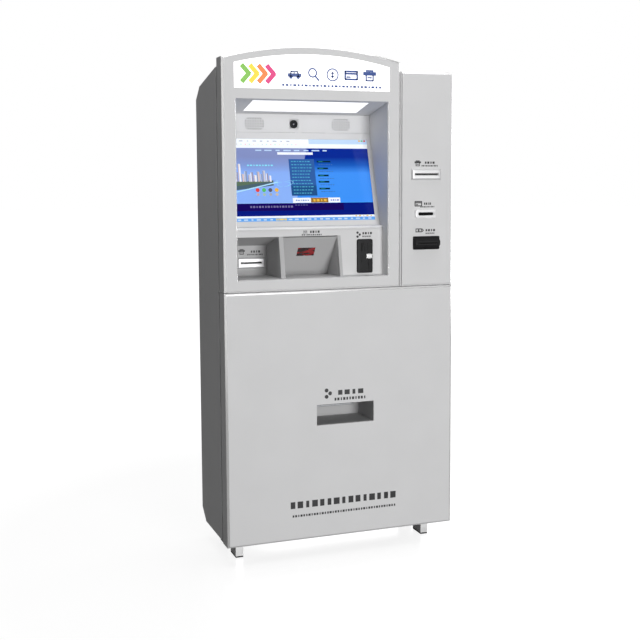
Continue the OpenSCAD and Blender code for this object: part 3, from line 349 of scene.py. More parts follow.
def disc(x, z, radius, colour, layer=0):
    """A flat disc."""
    return ("disc", x, z, radius, radius, colour, 0.0, layer)


def ring(x, z, radius, width, colour, squash=1.0, turn=0.0, layer=0):
    """A flat ring, squashed to an oval where that is asked for."""
    return ("ring", x, z, radius, width, colour, turn, layer, squash)


def draw_shape(shape):
    """One flat shape as a thin solid with its colour in the attribute 'ink'."""
    kind, x, z, a, b, colour, turn, layer = shape[:8]
    lift = -FILM * (0.5 + layer)
    place = (x * MM, lift, z * MM)
    if kind == "bar":
        bpy.ops.mesh.primitive_cube_add(
            size=1, location=place, rotation=(0, math.radians(-turn), 0), scale=(a * MM, FILM, b * MM)
        )
    elif kind == "disc":
        bpy.ops.mesh.primitive_cylinder_add(
            vertices=24, radius=a * MM, depth=FILM, location=place, rotation=(math.pi / 2, 0, 0)
        )
    else:
        bpy.ops.mesh.primitive_torus_add(
            major_segments=40, minor_segments=4, major_radius=(a - b / 2) * MM, minor_radius=b / 2 * MM,
            location=place, rotation=(math.pi / 2, 0, math.radians(turn)),
        )
        bpy.context.object.scale = (1, shape[8], FILM / (b * MM))
    mark = bpy.context.object
    ink = mark.data.color_attributes.new(name="ink", type="FLOAT_COLOR", domain="CORNER")
    for corner in ink.data:
        corner.color = (*colour, 1)
    apply_place()
    return mark


def draw_marks(name, shapes, carry, body, finish="ink", slot="black_plastic"):
    """Draws shapes, joins them and carries them to their plane."""
    clear_selection()
    marks = join_pieces(name, [draw_shape(shape) for shape in shapes])
    carry_to(marks, carry)
    close_piece(marks, finish, body, slot=slot)


# ---- finishes


class Recipe:
    """A Principled material under construction; constants go on the shader's own sockets."""

    def __init__(self, name, colour, rough=0.5, metal=0.0, **sockets):
        self.material = bpy.data.materials.new(name)
        self.material.use_nodes = True
        self.tree = self.material.node_tree
        self.shader = self.tree.nodes["Principled BSDF"]
        self.colour = (*colour, 1)
        self.set("Base Color", self.colour)
        self.set("Roughness", rough)
        self.set("Metallic", metal)
        for socket, value in sockets.items():
            self.set(socket.replace("_", " "), value)
        self.place = self.add("ShaderNodeTexCoord").outputs["Object"]

    def set(self, socket, value):
        self.shader.inputs[socket].default_value = value

    def add(self, kind, **values):
        """A node with inputs set or linked, by name or, as i0 or i1, by number."""
        node = self.tree.nodes.new(kind)
        for key, value in values.items():
            numbered = key[0] == "i" and key[1:].isdigit()
            socket = node.inputs[int(key[1:]) if numbered else key.replace("_", " ")]
            if isinstance(value, bpy.types.NodeSocket):
                self.tree.links.new(value, socket)
            else:
                socket.default_value = value
        return node

    def link(self, output, socket):
        self.tree.links.new(output, self.shader.inputs[socket])

    def noise(self, size, detail=3.0, stretch=None):
        """Noise whose cells are about this wide, in metres, optionally stretched along an axis."""
        place = self.place
        if stretch:
            place = self.add("ShaderNodeMapping", Vector=self.place, Scale=stretch).outputs["Vector"]
        return self.add("ShaderNodeTexNoise", Vector=place, Scale=1.0 / size, Detail=detail).outputs["Fac"]

    def spread(self, value, low, high, from_low=0.3, from_high=0.7):
        """Maps a noise value onto a range."""
        return self.add(
            "ShaderNodeMapRange", i0=value, i1=from_low, i2=from_high, i3=low, i4=high
        ).outputs["Result"]

    def tint(self, value, dark, light):
        """Varies the base colour between two factors of itself."""
        mix = self.tree.nodes.new("ShaderNodeMix")
        mix.data_type = "RGBA"
        self.tree.links.new(value, mix.inputs["Factor"])
        mix.inputs[6].default_value = (*(c * dark for c in self.colour[:3]), 1)
        mix.inputs[7].default_value = (*(min(1, c * light) for c in self.colour[:3]), 1)
        self.link(mix.outputs[2], "Base Color")
        return mix.outputs[2]

    def bump(self, height, strength, distance):
        """Relief from a height value; distance is its depth in metres."""
        relief = self.add("ShaderNodeBump", Height=height, Strength=strength, Distance=distance)
        self.link(relief.outputs["Normal"], "Normal")


def powder_coat(name, colour, paint, painted_shade=1.0):
    """Satin powder coat: orange peel, fine sparkle in the roughness, faint clouding; a factor below one
    darkens its colour as painted shade.
    """
    tone = tuple(c * painted_shade for c in colour)
    rough = paint.coat_rough
    coat = Recipe(name, tone, rough, paint.coat_metal, Specular_IOR_Level=0.15)
    coat.tint(coat.spread(coat.noise(140 * MM, 2), 0, 1), 0.985, 1.012)
    coat.link(coat.spread(coat.noise(0.9 * MM, 2), rough - 0.05, rough + 0.05), "Roughness")
    coat.bump(coat.noise(paint.coat_grain, 2), 0.25, 0.05 * MM)
    return coat.material


def brushed(name, colour, rough, metal):
    """Brushed metal, its hairlines running up it."""
    steel = Recipe(name, colour, rough, metal)
    lines = steel.noise(6 * MM, 4, (60, 1, 1))
    steel.tint(steel.spread(lines, 0, 1), 0.86, 1.08)
    steel.link(steel.spread(lines, rough - 0.08, rough + 0.1), "Roughness")
    steel.bump(lines, 0.12, 0.02 * MM)
    return steel.material


def zinc_plate(name, colour):
    """Zinc-plated sheet with its soft spangle."""
    zinc = Recipe(name, colour, 0.5, 0.5)
    cells = zinc.add("ShaderNodeTexVoronoi", Vector=zinc.place, Scale=1 / (9 * MM)).outputs["Color"]
    zinc.tint(cells, 0.82, 1.06)
    zinc.link(zinc.spread(zinc.noise(5 * MM), 0.42, 0.58), "Roughness")
    return zinc.material


def moulded(name, colour, rough=0.45, shine=0.5):
    """Moulded plastic with a fine spark-eroded texture."""
    plastic = Recipe(name, colour, rough, 0.0, Specular_IOR_Level=shine)
    speck = plastic.noise(0.7 * MM, 3)
    plastic.tint(plastic.spread(plastic.noise(30 * MM, 2), 0, 1), 0.9, 1.12)
    plastic.link(plastic.spread(speck, rough - 0.07, rough + 0.09), "Roughness")
    plastic.bump(speck, 0.35, 0.04 * MM)
    return plastic.material


def rubber(name, colour):
    """Matt rubber with a dusty bloom."""
    gum = Recipe(name, colour, 0.82, 0.0)
    bloom = gum.noise(12 * MM, 4)
    gum.tint(gum.spread(bloom, 0, 1), 0.8, 1.5)
    gum.bump(gum.noise(0.8 * MM, 2), 0.3, 0.05 * MM)
    return gum.material


def glow(name, colour, strength):
    """Opal acrylic lit from behind, a touch brighter between its lamps."""
    opal = Recipe(name, colour, 0.3, 0.0, Emission_Strength=strength)
    lit = opal.tint(opal.spread(opal.noise(90 * MM, 1), 0, 1), 0.985, 1.0)
    opal.link(lit, "Emission Color")
    opal.bump(opal.noise(2 * MM, 1), 0.05, 0.02 * MM)
    return opal.material


def paper_web(name, colour):
    """Thermal paper wound on a roll."""
    web = Recipe(name, colour, 0.75, 0.0)
    turns = web.noise(0.4 * MM, 2, (0.05, 1, 1))
    web.tint(web.spread(turns, 0, 1), 0.93, 1.03)
    web.bump(turns, 0.2, 0.03 * MM)
    return web.material


def scanner_glass(name, colour):
    """Deep red filter with darker optics showing through it."""
    pane = Recipe(name, colour, 0.08, 0.0, Coat_Weight=1.0, Coat_Roughness=0.03)
    optics = pane.spread(pane.noise(17 * MM, 1, (0.5, 1, 1.6)), 0, 1, 0.42, 0.56)
    pane.tint(optics, 0.12, 1.9)
    return pane.material


def printed(name, rough, strength):
    """Ink or screen tiles: colour from the attribute 'ink', with an optional glow."""
    ink = Recipe(name, (0.5, 0.5, 0.5), rough, 0.0, Emission_Strength=strength)
    tone = ink.add("ShaderNodeAttribute")
    tone.attribute_name = "ink"
    ink.link(tone.outputs["Color"], "Base Color")
    if strength:
        ink.link(tone.outputs["Color"], "Emission Color")
    ink.bump(ink.noise(0.6 * MM, 2), 0.08, 0.01 * MM)
    return ink.material


MATERIALS = {}


def make_finishes():
    """Makes every finish once, under the names of the record's slots where it has one."""
    paint = bpy.context.scene.station_paint
    coat = tuple(paint.coat)
    MATERIALS.update(
        cabinet_paint=powder_coat("cabinet_coat", coat, paint),
        door_paint=powder_coat("door_coat", coat, paint),
        liner_paint=powder_coat("liner_coat", coat, paint),
        # The pockets take the same coat darkened to 0.7: painted shade for the recesses
        pocket_paint=powder_coat("pocket_coat_painted_shade", coat, paint, 0.7),
        # Two whiter coats, painted highlights that the sheet folds step puts on up-facing ledge faces and on
        # bevel faces
        ledge_paint=powder_coat("ledge_highlight_coat", (0.95, 0.95, 0.95), paint),
        fold_paint=Recipe("fold_highlight_coat", (0.97, 0.97, 0.97), 0.22, 0.55).material,
        zinc_sheet=zinc_plate("zinc_plate", (0.46, 0.47, 0.49)),
        stainless=brushed("brushed_steel", (0.74, 0.74, 0.75), 0.42, 0.45),
        rubber_black=rubber("seal_rubber", (0.02, 0.02, 0.021)),
        black_plastic=moulded("black_moulding", tuple(paint.black), 0.5, shine=0.2),
        dark_plastic=moulded("dark_moulding", (0.045, 0.046, 0.05)),
        white_plastic=moulded("white_moulding", (0.86, 0.86, 0.86), 0.3),
        opal_acrylic=glow("opal_acrylic", (0.97, 0.97, 0.97), 0.75),
        screen_glass=Recipe("cover_glass", (0.01, 0.012, 0.02), 0.06, Coat_Weight=0.6).material,
        scanner_glass=scanner_glass("scanner_filter", (0.17, 0.006, 0.008)),
        module_metal=powder_coat("module_case", (0.05, 0.051, 0.055), paint),
        paper=paper_web("paper_web", (0.88, 0.88, 0.86)),
        chrome_plastic=moulded("satin_silver", (0.88, 0.88, 0.89), 0.25),
        # Near-black: painted shade inside the printer, banknote and coin slots, and also the card reader's
        # black throat
        lining=Recipe("slot_lining", (0.006, 0.006, 0.006), 0.7, Specular_IOR_Level=0.1).material,
        ink=printed("printed_ink", 0.5, 0.0),
        sign_ink=printed("sign_ink", 0.4, 0.04),
        tiles=printed("screen_tiles", 0.12, 0.2),
    )


# ---- pieces


def plane_of(node):
    """Frame on a flat CAD part's front: X to the right, Z up it, Y into it, from its centre."""
    face = min(NODES[node].data.polygons, key=lambda f: f.normal.y)
    out = face.normal.copy()
    right = Vector((1, 0, 0))
    up = right.cross(-out).normalized()
    centre = middle(node)
    origin = centre + out * (face.center - centre).dot(out)
    return Matrix.Translation(origin) @ Matrix((right, -out, up)).transposed().to_4x4()


def flat_frame(x, y, z):
    """Frame on an upright plane, at a place in metres."""
    return Matrix.Translation((x, y, z))


class StationOperator:
    """What every operator of the panel shares."""

    bl_options = {"REGISTER", "UNDO"}

    @property
    def sizes(self):
        return bpy.context.scene.station_sizes


class STATION_OT_finishes(StationOperator, bpy.types.Operator):
    """Makes the finishes and gives every CAD part the one its slot names"""

    bl_idname = "station.finishes"
    bl_label = "Finishes"

    def execute(self, context):
        make_finishes()
        for row in frame["record"]["subparts"]:
            node = NODES[row["node"]]
            node.data.materials.clear()
            node.data.materials.append(MATERIALS[row["material_slot"]])
        NODES["camera"].data.materials[0] = MATERIALS["liner_paint"]
        NODES["feet"].data.materials[0] = MATERIALS["white_plastic"]
        return {"FINISHED"}


class STATION_OT_folds(StationOperator, bpy.types.Operator):
    """Rounds the bends and cut edges of the sheet parts that show, and paints a highlight on their bevel faces
    """

    bl_idname = "station.folds"
    bl_label = "Sheet folds"

    parts = (
        "left_side_panel", "right_side_panel", "roof_panel", "upper_door_shell", "column_door_shell",
        "lower_door_shell", "bay_side_panels", "bay_ceiling", "monitor_panel", "device_panel",
        "pocket_liner", "coin_tray", "centre_post", "camera", "feet", "foot_pads",
        "coin_cashbox", "industrial_pc",
    )

    # Parts whose bevel faces are painted lighter, as a painted highlight
    bright = (
        "upper_door_shell", "column_door_shell", "lower_door_shell", "bay_side_panels", "monitor_panel",
        "device_panel", "left_side_panel",
    )

    def takes_painted_highlight(self, name, normal):
        """True for the faces that get the painted highlight: bevel faces that catch the light, up-facing ledge
        faces, and the left side panel's forward faces.
        """
        if name == "monitor_panel":
            return normal.z > 0.35 and normal.y < -0.2
        if name == "device_panel":
            return 0.05 < normal.z < 0.8 and normal.y < -0.6
        if name == "left_side_panel":
            return normal.y < -0.9
        parts = sorted(abs(part) for part in normal)
        if normal.z < -0.3:
            return False
        return 0.55 < parts[1] < 0.72 and 0.69 < parts[2] < 0.84

    def execute(self, context):
        for name in self.parts:
            clear_selection()
            node = NODES[name]
            context.view_layer.objects.active = node
            bpy.ops.object.modifier_add(type="WELD")
            node.modifiers[-1].merge_threshold = MERGE
            bpy.ops.object.modifier_add(type="DECIMATE")
            flat = node.modifiers[-1]
            flat.decimate_type = "DISSOLVE"
            flat.angle_limit = math.radians(0.4)
            bpy.ops.object.modifier_add(type="BEVEL")
            fold = node.modifiers[-1]
            fold.width = self.sizes.fold
            fold.segments = 2
            fold.limit_method = "ANGLE"
            fold.angle_limit = math.radians(25)
            fold.harden_normals = True
            # Painted highlight: the chosen faces get a whiter coat, matt white on the two panels' ledges and
            # glossy white elsewhere
            if name in self.bright:
                soft = name in ("monitor_panel", "device_panel")
                node.data.materials.append(MATERIALS["ledge_paint" if soft else "fold_paint"])
                for face in node.data.polygons:
                    face.material_index = int(self.takes_painted_highlight(name, face.normal))
        return {"FINISHED"}


def shade_slot(name, body, low, high):
    """Near-black block set inside a slot as painted shade for its dark depth, with its mouth eased."""
    piece = start_block(name, low, high)
    round_corners(0.5 * MM, 2)
    pick_front()
    inset(0.5 * MM, -0.3 * MM)
    close_piece(piece, "lining", body, slot="black_plastic")


def draw_back(x, z, wide, tall, reach):
    """Draws a narrower neck back from where a bezel meets the door's skin."""
    pick_faces(lambda c, n: n.y > 0.9 and c.y > DOOR_FRONT - NEAR)
    push(0, 0, 0)
    bpy.ops.transform.resize(value=(wide, 1, tall), center_override=(x, DOOR_FRONT, z))
    push(0, reach, 0)


class STATION_OT_printer_bezels(StationOperator, bpy.types.Operator):
    """Steel bezels of the two receipt printers: sloping rim, hood, slot and lip"""

    bl_idname = "station.printer_bezels"
    bl_label = "Printer bezels"

    plate = 2 * MM
    rim = 5 * MM

    def execute(self, context):
        self.bezel("receipt_bezel", "upper_door")
        self.bezel("invoice_bezel", "column_door")
        return {"FINISHED"}

    def bezel(self, node, body):
        low, high, x, z = box_and_middle(node)
        half = (high.x - low.x) / 2 - 11 * MM
        slot_low, slot_high = z - 2.6 * MM, z + 3.2 * MM
        well_low, well_high = z - 12 * MM, z + 9 * MM
        piece = start_block(node + "_steel", (low.x, high.y - self.plate, low.z), high)
        pick_front()
        inset(self.rim, high.y - low.y - self.plate)
        round_edges(0.9 * MM, 3, lambda c, d: c.y < high.y - self.plate * 0.9 and not along(d, 1))
        sink(x - half, x + half, well_low, well_high, 4 * MM)
        sink(x - half + 1 * MM, x + half - 1 * MM, slot_low, slot_high, 3.4 * MM)
        self.draw_out(x, half, well_low, slot_low, 0.8 * MM, (0, -3.2 * MM, -1.5 * MM))
        self.draw_out(x, half, slot_high, well_high, 0.7 * MM, (0, -2.4 * MM, 0.8 * MM))
        close_piece(piece, "stainless", body, node, angle=30)
        reach = half - 1.1 * MM
        shade_slot(
            node + "_lining", body,
            (x - reach, low.y + 4.2 * MM, z - 2.5 * MM), (x + reach, low.y + 7 * MM, z + 3.1 * MM),
        )

    def draw_out(self, x, half, low_z, high_z, edge, way):
        """Draws the strip between two heights out of the well, inside a narrow edge."""
        def strip(c, n, margin=0):
            return n.y < -0.9 and abs(c.x - x) < half and low_z + margin < c.z < high_z - margin

        pick_faces(strip)
        inset(edge)
        pick_faces(lambda c, n: strip(c, n, 1 * MM))
        push(*way)


class STATION_OT_card_mouth(StationOperator, bpy.types.Operator):
    """Card reader: chromed mouth, black throat and the case behind the door"""

    bl_idname = "station.card_mouth"
    bl_label = "Card reader"

    height = 31 * MM

    def execute(self, context):
        low, high, x, z = box_and_middle("card_reader")
        z -= 1 * MM
        face_y = low.y
        mouth = start_block(
            "card_mouth",
            (low.x, face_y, z - self.height / 2), (high.x, DOOR_FRONT, z + self.height / 2),
        )
        round_edges(9 * MM, 8, lambda c, d: along(d, 1) and c.x < x)
        round_edges(3 * MM, 4, lambda c, d: along(d, 1) and c.x > x)
        round_edges(3.2 * MM, 5, lambda c, d: c.y < face_y + NEAR)
        sink(low.x + 11 * MM, high.x - 9 * MM, z - 6.5 * MM, z + 6.5 * MM, 4 * MM)
        sink(high.x - 17 * MM, high.x - 4 * MM, z - 3 * MM, z + 3 * MM, 2.5 * MM)
        draw_back(x, z, 0.875, 0.68, SHEET + 2 * MM)
        close_piece(mouth, "chrome_plastic", "column_door", "card_reader", angle=40)
        throat = start_block(
            "card_throat",
            (low.x + 12 * MM, face_y + 1.2 * MM, z - 5.5 * MM),
            (high.x - 10 * MM, face_y + 4.5 * MM, z + 5.5 * MM),
        )
        round_corners(5 * MM, 6)
        round_edges(1 * MM, 3, lambda c, d: c.y < face_y + 1.3 * MM)
        sink(low.x + 17 * MM, high.x - 13 * MM, z - 1.2 * MM, z + 1.2 * MM, 1.8 * MM)
        close_piece(throat, "lining", "column_door", slot="black_plastic")
        case = start_block(
            "card_case",
            (x - 35 * MM, DOOR_FRONT + SHEET + 2.2 * MM, z - 18 * MM), (x + 35 * MM, high.y, high.z)
        )
        round_edges(2 * MM, 3, lambda c, d: True)
        pick_faces(lambda c, n: abs(n.x) > 0.9)
        inset(6 * MM, -1 * MM)
        close_piece(case, "dark_plastic", "column_door")
        return {"FINISHED"}


class STATION_OT_banknote_bezel(StationOperator, bpy.types.Operator):
    """Banknote bezel: flange, bulging nose, slot and ribbed lips"""

    bl_idname = "station.banknote_bezel"
    bl_label = "Banknote bezel"

    # Steps of the nose: share of its length, then what each leaves of the width and the height
    steps = ((0.72, 0.98, 0.52), (0.17, 0.985, 0.84), (0.06, 0.98, 0.84))
    span = 70 * MM

    def execute(self, context):
        low, high, x, z = box_and_middle("banknote_bezel")
        flange = DOOR_FRONT - 6 * MM
        piece = start_block("banknote_mouth", (low.x, flange, low.z), (high.x, DOOR_FRONT, high.z))
        round_corners(4 * MM, 5)
        round_edges(self.sizes.bezel_edge, 3, lambda c, d: c.y < flange + NEAR)
        pick_front()
        inset(3 * MM)
        for share, wide, tall in self.steps:
            push(0, (low.y - flange) * share, 0)
            bpy.ops.transform.resize(value=(wide, 1, tall), center_override=(x, low.y, z))
        sink(x - 38 * MM, x + 38 * MM, z - 2.4 * MM, z + 1.6 * MM, 13 * MM)
        draw_back(x, z, 0.89, 0.76, high.y - DOOR_FRONT)
        close_piece(piece, "black_plastic", "column_door", "banknote_bezel", angle=32)
        shade_slot(
            "banknote_lining", "column_door",
            (x - 37.8 * MM, low.y + 3 * MM, z - 2.2 * MM), (x + 37.8 * MM, low.y + 12 * MM, z + 1.4 * MM),
        )
        self.ribs(x, z, low.y)
        return {"FINISHED"}

    def ribs(self, x, z, nose_y):
        """Upright ribs on both lips."""
        ribs, count = [], self.sizes.note_ribs
        for side in (-1, 1):
            for i in range(count):
                rib_x = x + self.span * (i / (count - 1) - 0.5)
                rib_z = z + side * 10.5 * MM
                rib = start_block(
                    "rib",
                    (rib_x - 0.8 * MM, nose_y + 5 * MM, rib_z - 3.5 * MM),
                    (rib_x + 0.8 * MM, nose_y + 9.5 * MM, rib_z + 3.5 * MM),
                )
                round_edges(0.5 * MM, 2, lambda c, d: c.y < nose_y + 6 * MM)
                leave_edit()
                ribs.append(rib)
        close_piece(join_pieces("banknote_ribs", ribs), "black_plastic", "column_door")


class STATION_OT_coin_bezel(StationOperator, bpy.types.Operator):
    """Coin bezel: raised rim, ridged field, coin slot and return cup, with its white button"""

    bl_idname = "station.coin_bezel"
    bl_label = "Coin bezel"

    # Ridges as millimetres across and up from the middle, length, and lean in degrees
    ridge_rows = ((-3, 33, 32, 14), (11, 30, 36, 5), (-14, -12, 20, 8), (13, -18, 26, 5))

    def execute(self, context):
        low, high, x, z = box_and_middle("coin_bezel")
        b_low, b_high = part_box("coin_return_button")
        cap_z = (b_low.z + b_high.z) / 2
        bezel = start_block("coin_bezel_moulding", low, (high.x, b_low.y + 10 * MM, high.z))
        round_corners(self.sizes.bezel_corner, 6)
        round_edges(self.sizes.bezel_edge, 4, lambda c, d: c.y < low.y + NEAR)
        pick_front()
        push_front(1 * MM, 0)
        push_front(0.8 * MM, 1 * MM)
        sink(b_low.x - 0.6 * MM, b_low.x + 19.3 * MM, cap_z - 7.8 * MM, cap_z + 7.8 * MM, 5.9 * MM)
        sink(x - 14 * MM, x - 10.4 * MM, z + 16 * MM, z + 46 * MM, 5 * MM)
        sink(x - 16 * MM, x + 16 * MM, z - 50 * MM, z - 28 * MM, 2.6 * MM)
        close_piece(bezel, "black_plastic", "upper_door", "coin_bezel", angle=32)
        self.ridges(x, z, low.y + 1 * MM)
        shade_slot(
            "coin_lining", "upper_door",
            (x - 13.9 * MM, low.y + 2 * MM, z + 16.1 * MM), (x - 10.5 * MM, low.y + 5.5 * MM, z + 45.9 * MM),
        )
        self.button(b_low, b_high, cap_z)
        return {"FINISHED"}

    def ridges(self, x, z, field_y):
        """Leaning ridges and a stud on the bezel's field."""
        parts = []
        for dx, dz, length, lean in self.ridge_rows:
            cx, cz, half = x + dx * MM, z + dz * MM, length / 2 * MM
            ridge = start_block(
                "ridge",
                (cx - 1.1 * MM, field_y - self.sizes.ridge, cz - half),
                (cx + 1.1 * MM, field_y + 0.2 * MM, cz + half),
            )
            round_edges(0.7 * MM, 3, lambda c, d: c.y < field_y)
            bpy.ops.mesh.select_all(action="SELECT")
            bpy.ops.transform.rotate(
                value=math.radians(lean), orient_axis="Y", center_override=(cx, field_y, cz)
            )
            leave_edit()
            parts.append(ridge)
        stud_at = (x + 9.5 * MM, field_y - 0.3 * MM, z - 24 * MM)
        parts.append(start_disc("stud", stud_at, 2.2 * MM, 1.2 * MM, 24))
        round_edges(0.4 * MM, 2, lambda c, d: c.y < field_y - 0.8 * MM)
        leave_edit()
        close_piece(join_pieces("coin_bezel_ridges", parts), "black_plastic", "upper_door")

    def button(self, low, high, z):
        """White cap with a dished front, on a narrower stem."""
        width, height, cap = 18.7 * MM, 14 * MM, 7 * MM
        piece = start_block(
            "return_button", (low.x, low.y, z - height / 2), (low.x + width, low.y + cap, z + height / 2)
        )
        round_corners(2.5 * MM, 4)
        round_edges(1.4 * MM, 3, lambda c, d: c.y < low.y + NEAR)
        pick_front()
        inset(2 * MM, -0.5 * MM)
        pick_back()
        push_front(2.6 * MM, 0)
        bpy.ops.transform.resize(value=(0.87, 1, 1), center_override=(low.x + width / 2, low.y, z))
        push(0, high.y - low.y - cap - 2 * MM, 0)
        close_piece(piece, "white_plastic", "return_button", "coin_return_button")


class STATION_OT_camera_eye(StationOperator, bpy.types.Operator):
    """Lens barrel and glass in the camera's recess"""

    bl_idname = "station.camera_eye"
    bl_label = "Camera eye"

    def execute(self, context):
        low, high, x, z = box_and_middle("camera")
        radius = self.sizes.lens
        seat_y = low.y + 8 * MM
        barrel = start_disc("camera_barrel", (x, seat_y - 3 * MM, z), radius + 2.2 * MM, 7 * MM)
        round_edges(1 * MM, 3, lambda c, d: c.y < seat_y - 6 * MM)
        pick_front()
        inset(2.2 * MM, -1.2 * MM)
        inset(0.8 * MM, -1 * MM)
        close_piece(barrel, "black_plastic", "upper_door")
        clear_selection()
        bpy.ops.mesh.primitive_uv_sphere_add(
            segments=40, ring_count=20, radius=radius, location=(x, seat_y - 4.5 * MM, z), scale=(1, 0.55, 1)
        )
        lens = into_edit("camera_lens")
        bpy.ops.mesh.select_all(action="SELECT")
        bpy.ops.mesh.bisect(
            plane_co=(0, seat_y - 4.5 * MM, 0), plane_no=(0, 1, 0), clear_outer=True, use_fill=True
        )
        close_piece(lens, "screen_glass", "upper_door", angle=60)
        return {"FINISHED"}


class STATION_OT_grilles(StationOperator, bpy.types.Operator):
    """Black discs over the holes in the two speaker grilles: painted shade for the dark inside the holes"""

    bl_idname = "station.grilles"
    bl_label = "Speaker grilles"

    def execute(self, context):
        low, high, _, middle_z = box_and_middle("speakers")
        # Near-black discs that stand in for the shade inside the holes
        half, pitch, ink = 27.5 * MM, 9, (0.01, 0.01, 0.01)
        dots = []
        for x in (low.x + half, high.x - half):
            for row in range(-2, 3):
                for column in range(8):
                    if abs(row) < 2 or 0 < column < 7:
                        dots.append(disc(x / MM + (column - 3.5) * pitch, row * pitch - 1, 2.4, ink))
        panel_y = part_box("speaker_panel")[0].y
        draw_marks("speaker_hole_shade", dots, flat_frame(0, panel_y, middle_z), "upper_door")
        return {"FINISHED"}


class STATION_OT_scanner_rim(StationOperator, bpy.types.Operator):
    """Pale rim round the scanner window"""

    bl_idname = "station.scanner_rim"
    bl_label = "Scanner rim"

    def execute(self, context):
        low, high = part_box("scanner_window")
        band = 1.6 * MM
        half_x = (high.x - low.x) / 2 - 5 * MM + band
        half_z = 37 / 2 * MM + band
        rim = start_block("scanner_rim", (-half_x, -band, -half_z), (half_x, 0.2 * MM, half_z))
        round_corners(2 * MM, 4)
        round_edges(0.5 * MM, 2, lambda c, d: c.y < -1.5 * MM)
        pick_front()
        inset(band)
        bpy.ops.mesh.delete(type="FACE")
        pick_back()
        inset(2.1 * MM)
        bpy.ops.mesh.delete(type="FACE")
        pick_edges(lambda c, d: abs(c.x) < half_x - 1.5 * MM and abs(c.z) < half_z - 1.5 * MM)
        bpy.ops.mesh.bridge_edge_loops()
        leave_edit()
        carry_to(rim, plane_of("scanner_window"))
        close_piece(rim, "stainless", "upper_door")
        return {"FINISHED"}


class STATION_OT_downlight(StationOperator, bpy.types.Operator):
    """Opal lens of the light fitting in the bay's ceiling"""

    bl_idname = "station.downlight"
    bl_label = "Downlight lens"

    def execute(self, context):
        low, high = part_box("downlight")
        c_low, c_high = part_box("bay_ceiling")
        depth = c_high.y - c_low.y
        slope = math.atan2(c_high.z - c_low.z - SHEET, depth)
        half_x = (high.x - low.x) / 2 - 6.6 * MM
        half_y = 58 * MM / math.cos(slope)
        y = low.y + 63.5 * MM
        x = (low.x + high.x) / 2
        z = c_high.z - SHEET - (y - c_low.y) * math.tan(slope)
        lens = start_block("downlight_lens", (-half_x, -half_y, 0), (half_x, half_y, 1.2 * MM))
        round_edges(2 * MM, 3, lambda c, d: along(d, 2))
        pick_faces(lambda c, n: n.z < -0.9)
        inset(1.2 * MM, 0.2 * MM)
        leave_edit()
        carry_to(lens, Matrix.Translation((x, y, z)) @ Matrix.Rotation(-slope, 4, "X"))
        close_piece(lens, "opal_acrylic", "upper_door")
        NODES["downlight"].data.materials[0] = MATERIALS["white_plastic"]
        return {"FINISHED"}


# ---- screen

WHITE = (0.86, 0.9, 0.95)
PALE = (0.5, 0.66, 0.86)
CYAN = (0.2, 0.55, 0.8)
NIGHT = (0.0, 0.008, 0.19)
PURPLE = (0.006, 0.0, 0.1)
SLATE = (0.07, 0.12, 0.16)
AMBER = (0.8, 0.45, 0.06)
GREEN = (0.1, 0.5, 0.12)
RED = (0.75, 0.05, 0.04)
SMOKE = (0.35, 0.36, 0.42)


def box_tile(x0, z0, x1, z1, colour, layer=0):
    """A tile between two corners."""
    return bar((x0 + x1) / 2, (z0 + z1) / 2, x1 - x0, z1 - z0, colour, 0, layer)


def dashes(x0, x1, z, height, count, colour, layer=0, fill=0.62):
    """A row of short bars that fills a line."""
    step = (x1 - x0) / count
    lengths = [fill + 0.2 * math.sin(2.4 * i) for i in range(count)]
    return [bar(x0 + step * (i + 0.5), z, step * lengths[i], height, colour, 0, layer) for i in range(count)]


def screen_page(width, height):
    """Tiles of a made-up service page, in millimetres from the screen's lower left corner."""
    tiles = [
        box_tile(0, 264, width, height, WHITE),
        box_tile(295, 280, width, height, PALE, 1),
        box_tile(0, 19, width, 64, NIGHT),
        box_tile(0, 38, 403, 64, PURPLE, 1),
        box_tile(0, 12, width, 19, WHITE),
        box_tile(0, 0, width, 12, (0.12, 0.36, 0.8)),
        box_tile(174, 240, 306, 249, WHITE, 1),
        box_tile(213, 91, 308, 224, (0.03, 0.11, 0.36), 0),
        box_tile(213, 91, 308, 128, (0.015, 0.08, 0.24), 1),
        box_tile(215, 65, 392, 83, WHITE, 1),
        box_tile(282, 65.5, 347, 82.5, (0.3, 0.15, 0.03), 2),
        box_tile(146, 3, 186, 9.5, (0.9, 0.7, 0.2), 1),
    ]
    for i, colour in enumerate((AMBER, GREEN, RED)):
        tiles.append(bar(489 + 10 * i, 292.5, 7.5, 5, colour, 0, 2))
    for i in range(16):
        tint = (PALE, AMBER, GREEN, RED, CYAN, SMOKE)[i * 5 % 6]
        tiles.append(disc(14 + 15.5 * i, 277, 2.4, tuple(0.5 + 0.5 * c for c in tint), 1))
    for row in (
        (8, 230, 289, 3, 9, SMOKE, 1, 0.4),
        (88, 370, 255.5, 4.5, 8, PALE, 1),
        (58, 155, 201, 5, 9, (0.25, 0.75, 0.9), 1),
        (56, 214, 52, 7, 15, (0.16, 0.14, 0.32), 2),
        (220, 270, 57, 3, 5, (0.1, 0.1, 0.3), 2),
        (224, 276, 74, 4, 6, (0.1, 0.16, 0.5), 2),
        (288, 342, 74, 9, 4, AMBER, 3),
        (354, 388, 74, 5, 4, (0.2, 0.2, 0.6), 2),
        (4, 510, 6, 5, 22, PALE, 1, 0.5),
        (440, 512, 15.5, 4, 5, AMBER, 1, 0.4),
    ):
        tiles += dashes(*row)
    for row in range(11):
        z = 215 - 11.5 * row
        tiles += dashes(220, 292 + 6 * math.sin(row), z, 3.2, 7, (0.08, 0.42, 0.6), 2)
    for row, z in enumerate((215, 190, 164, 141, 116)):
        tiles.append(box_tile(318, z - 3, 370 if row == 0 else 358, z + 3, (0.0, 0.025, 0.03), 1))
        tiles.append(box_tile(324, z - 1.2, 340, z + 1.2, (0.02, 0.25, 0.25), 2))
        tiles += dashes(322, 378, z - 11, 2.6, 6, (0.05, 0.16, 0.42), 1)
    tiles += skyline() + garden()
    return tiles


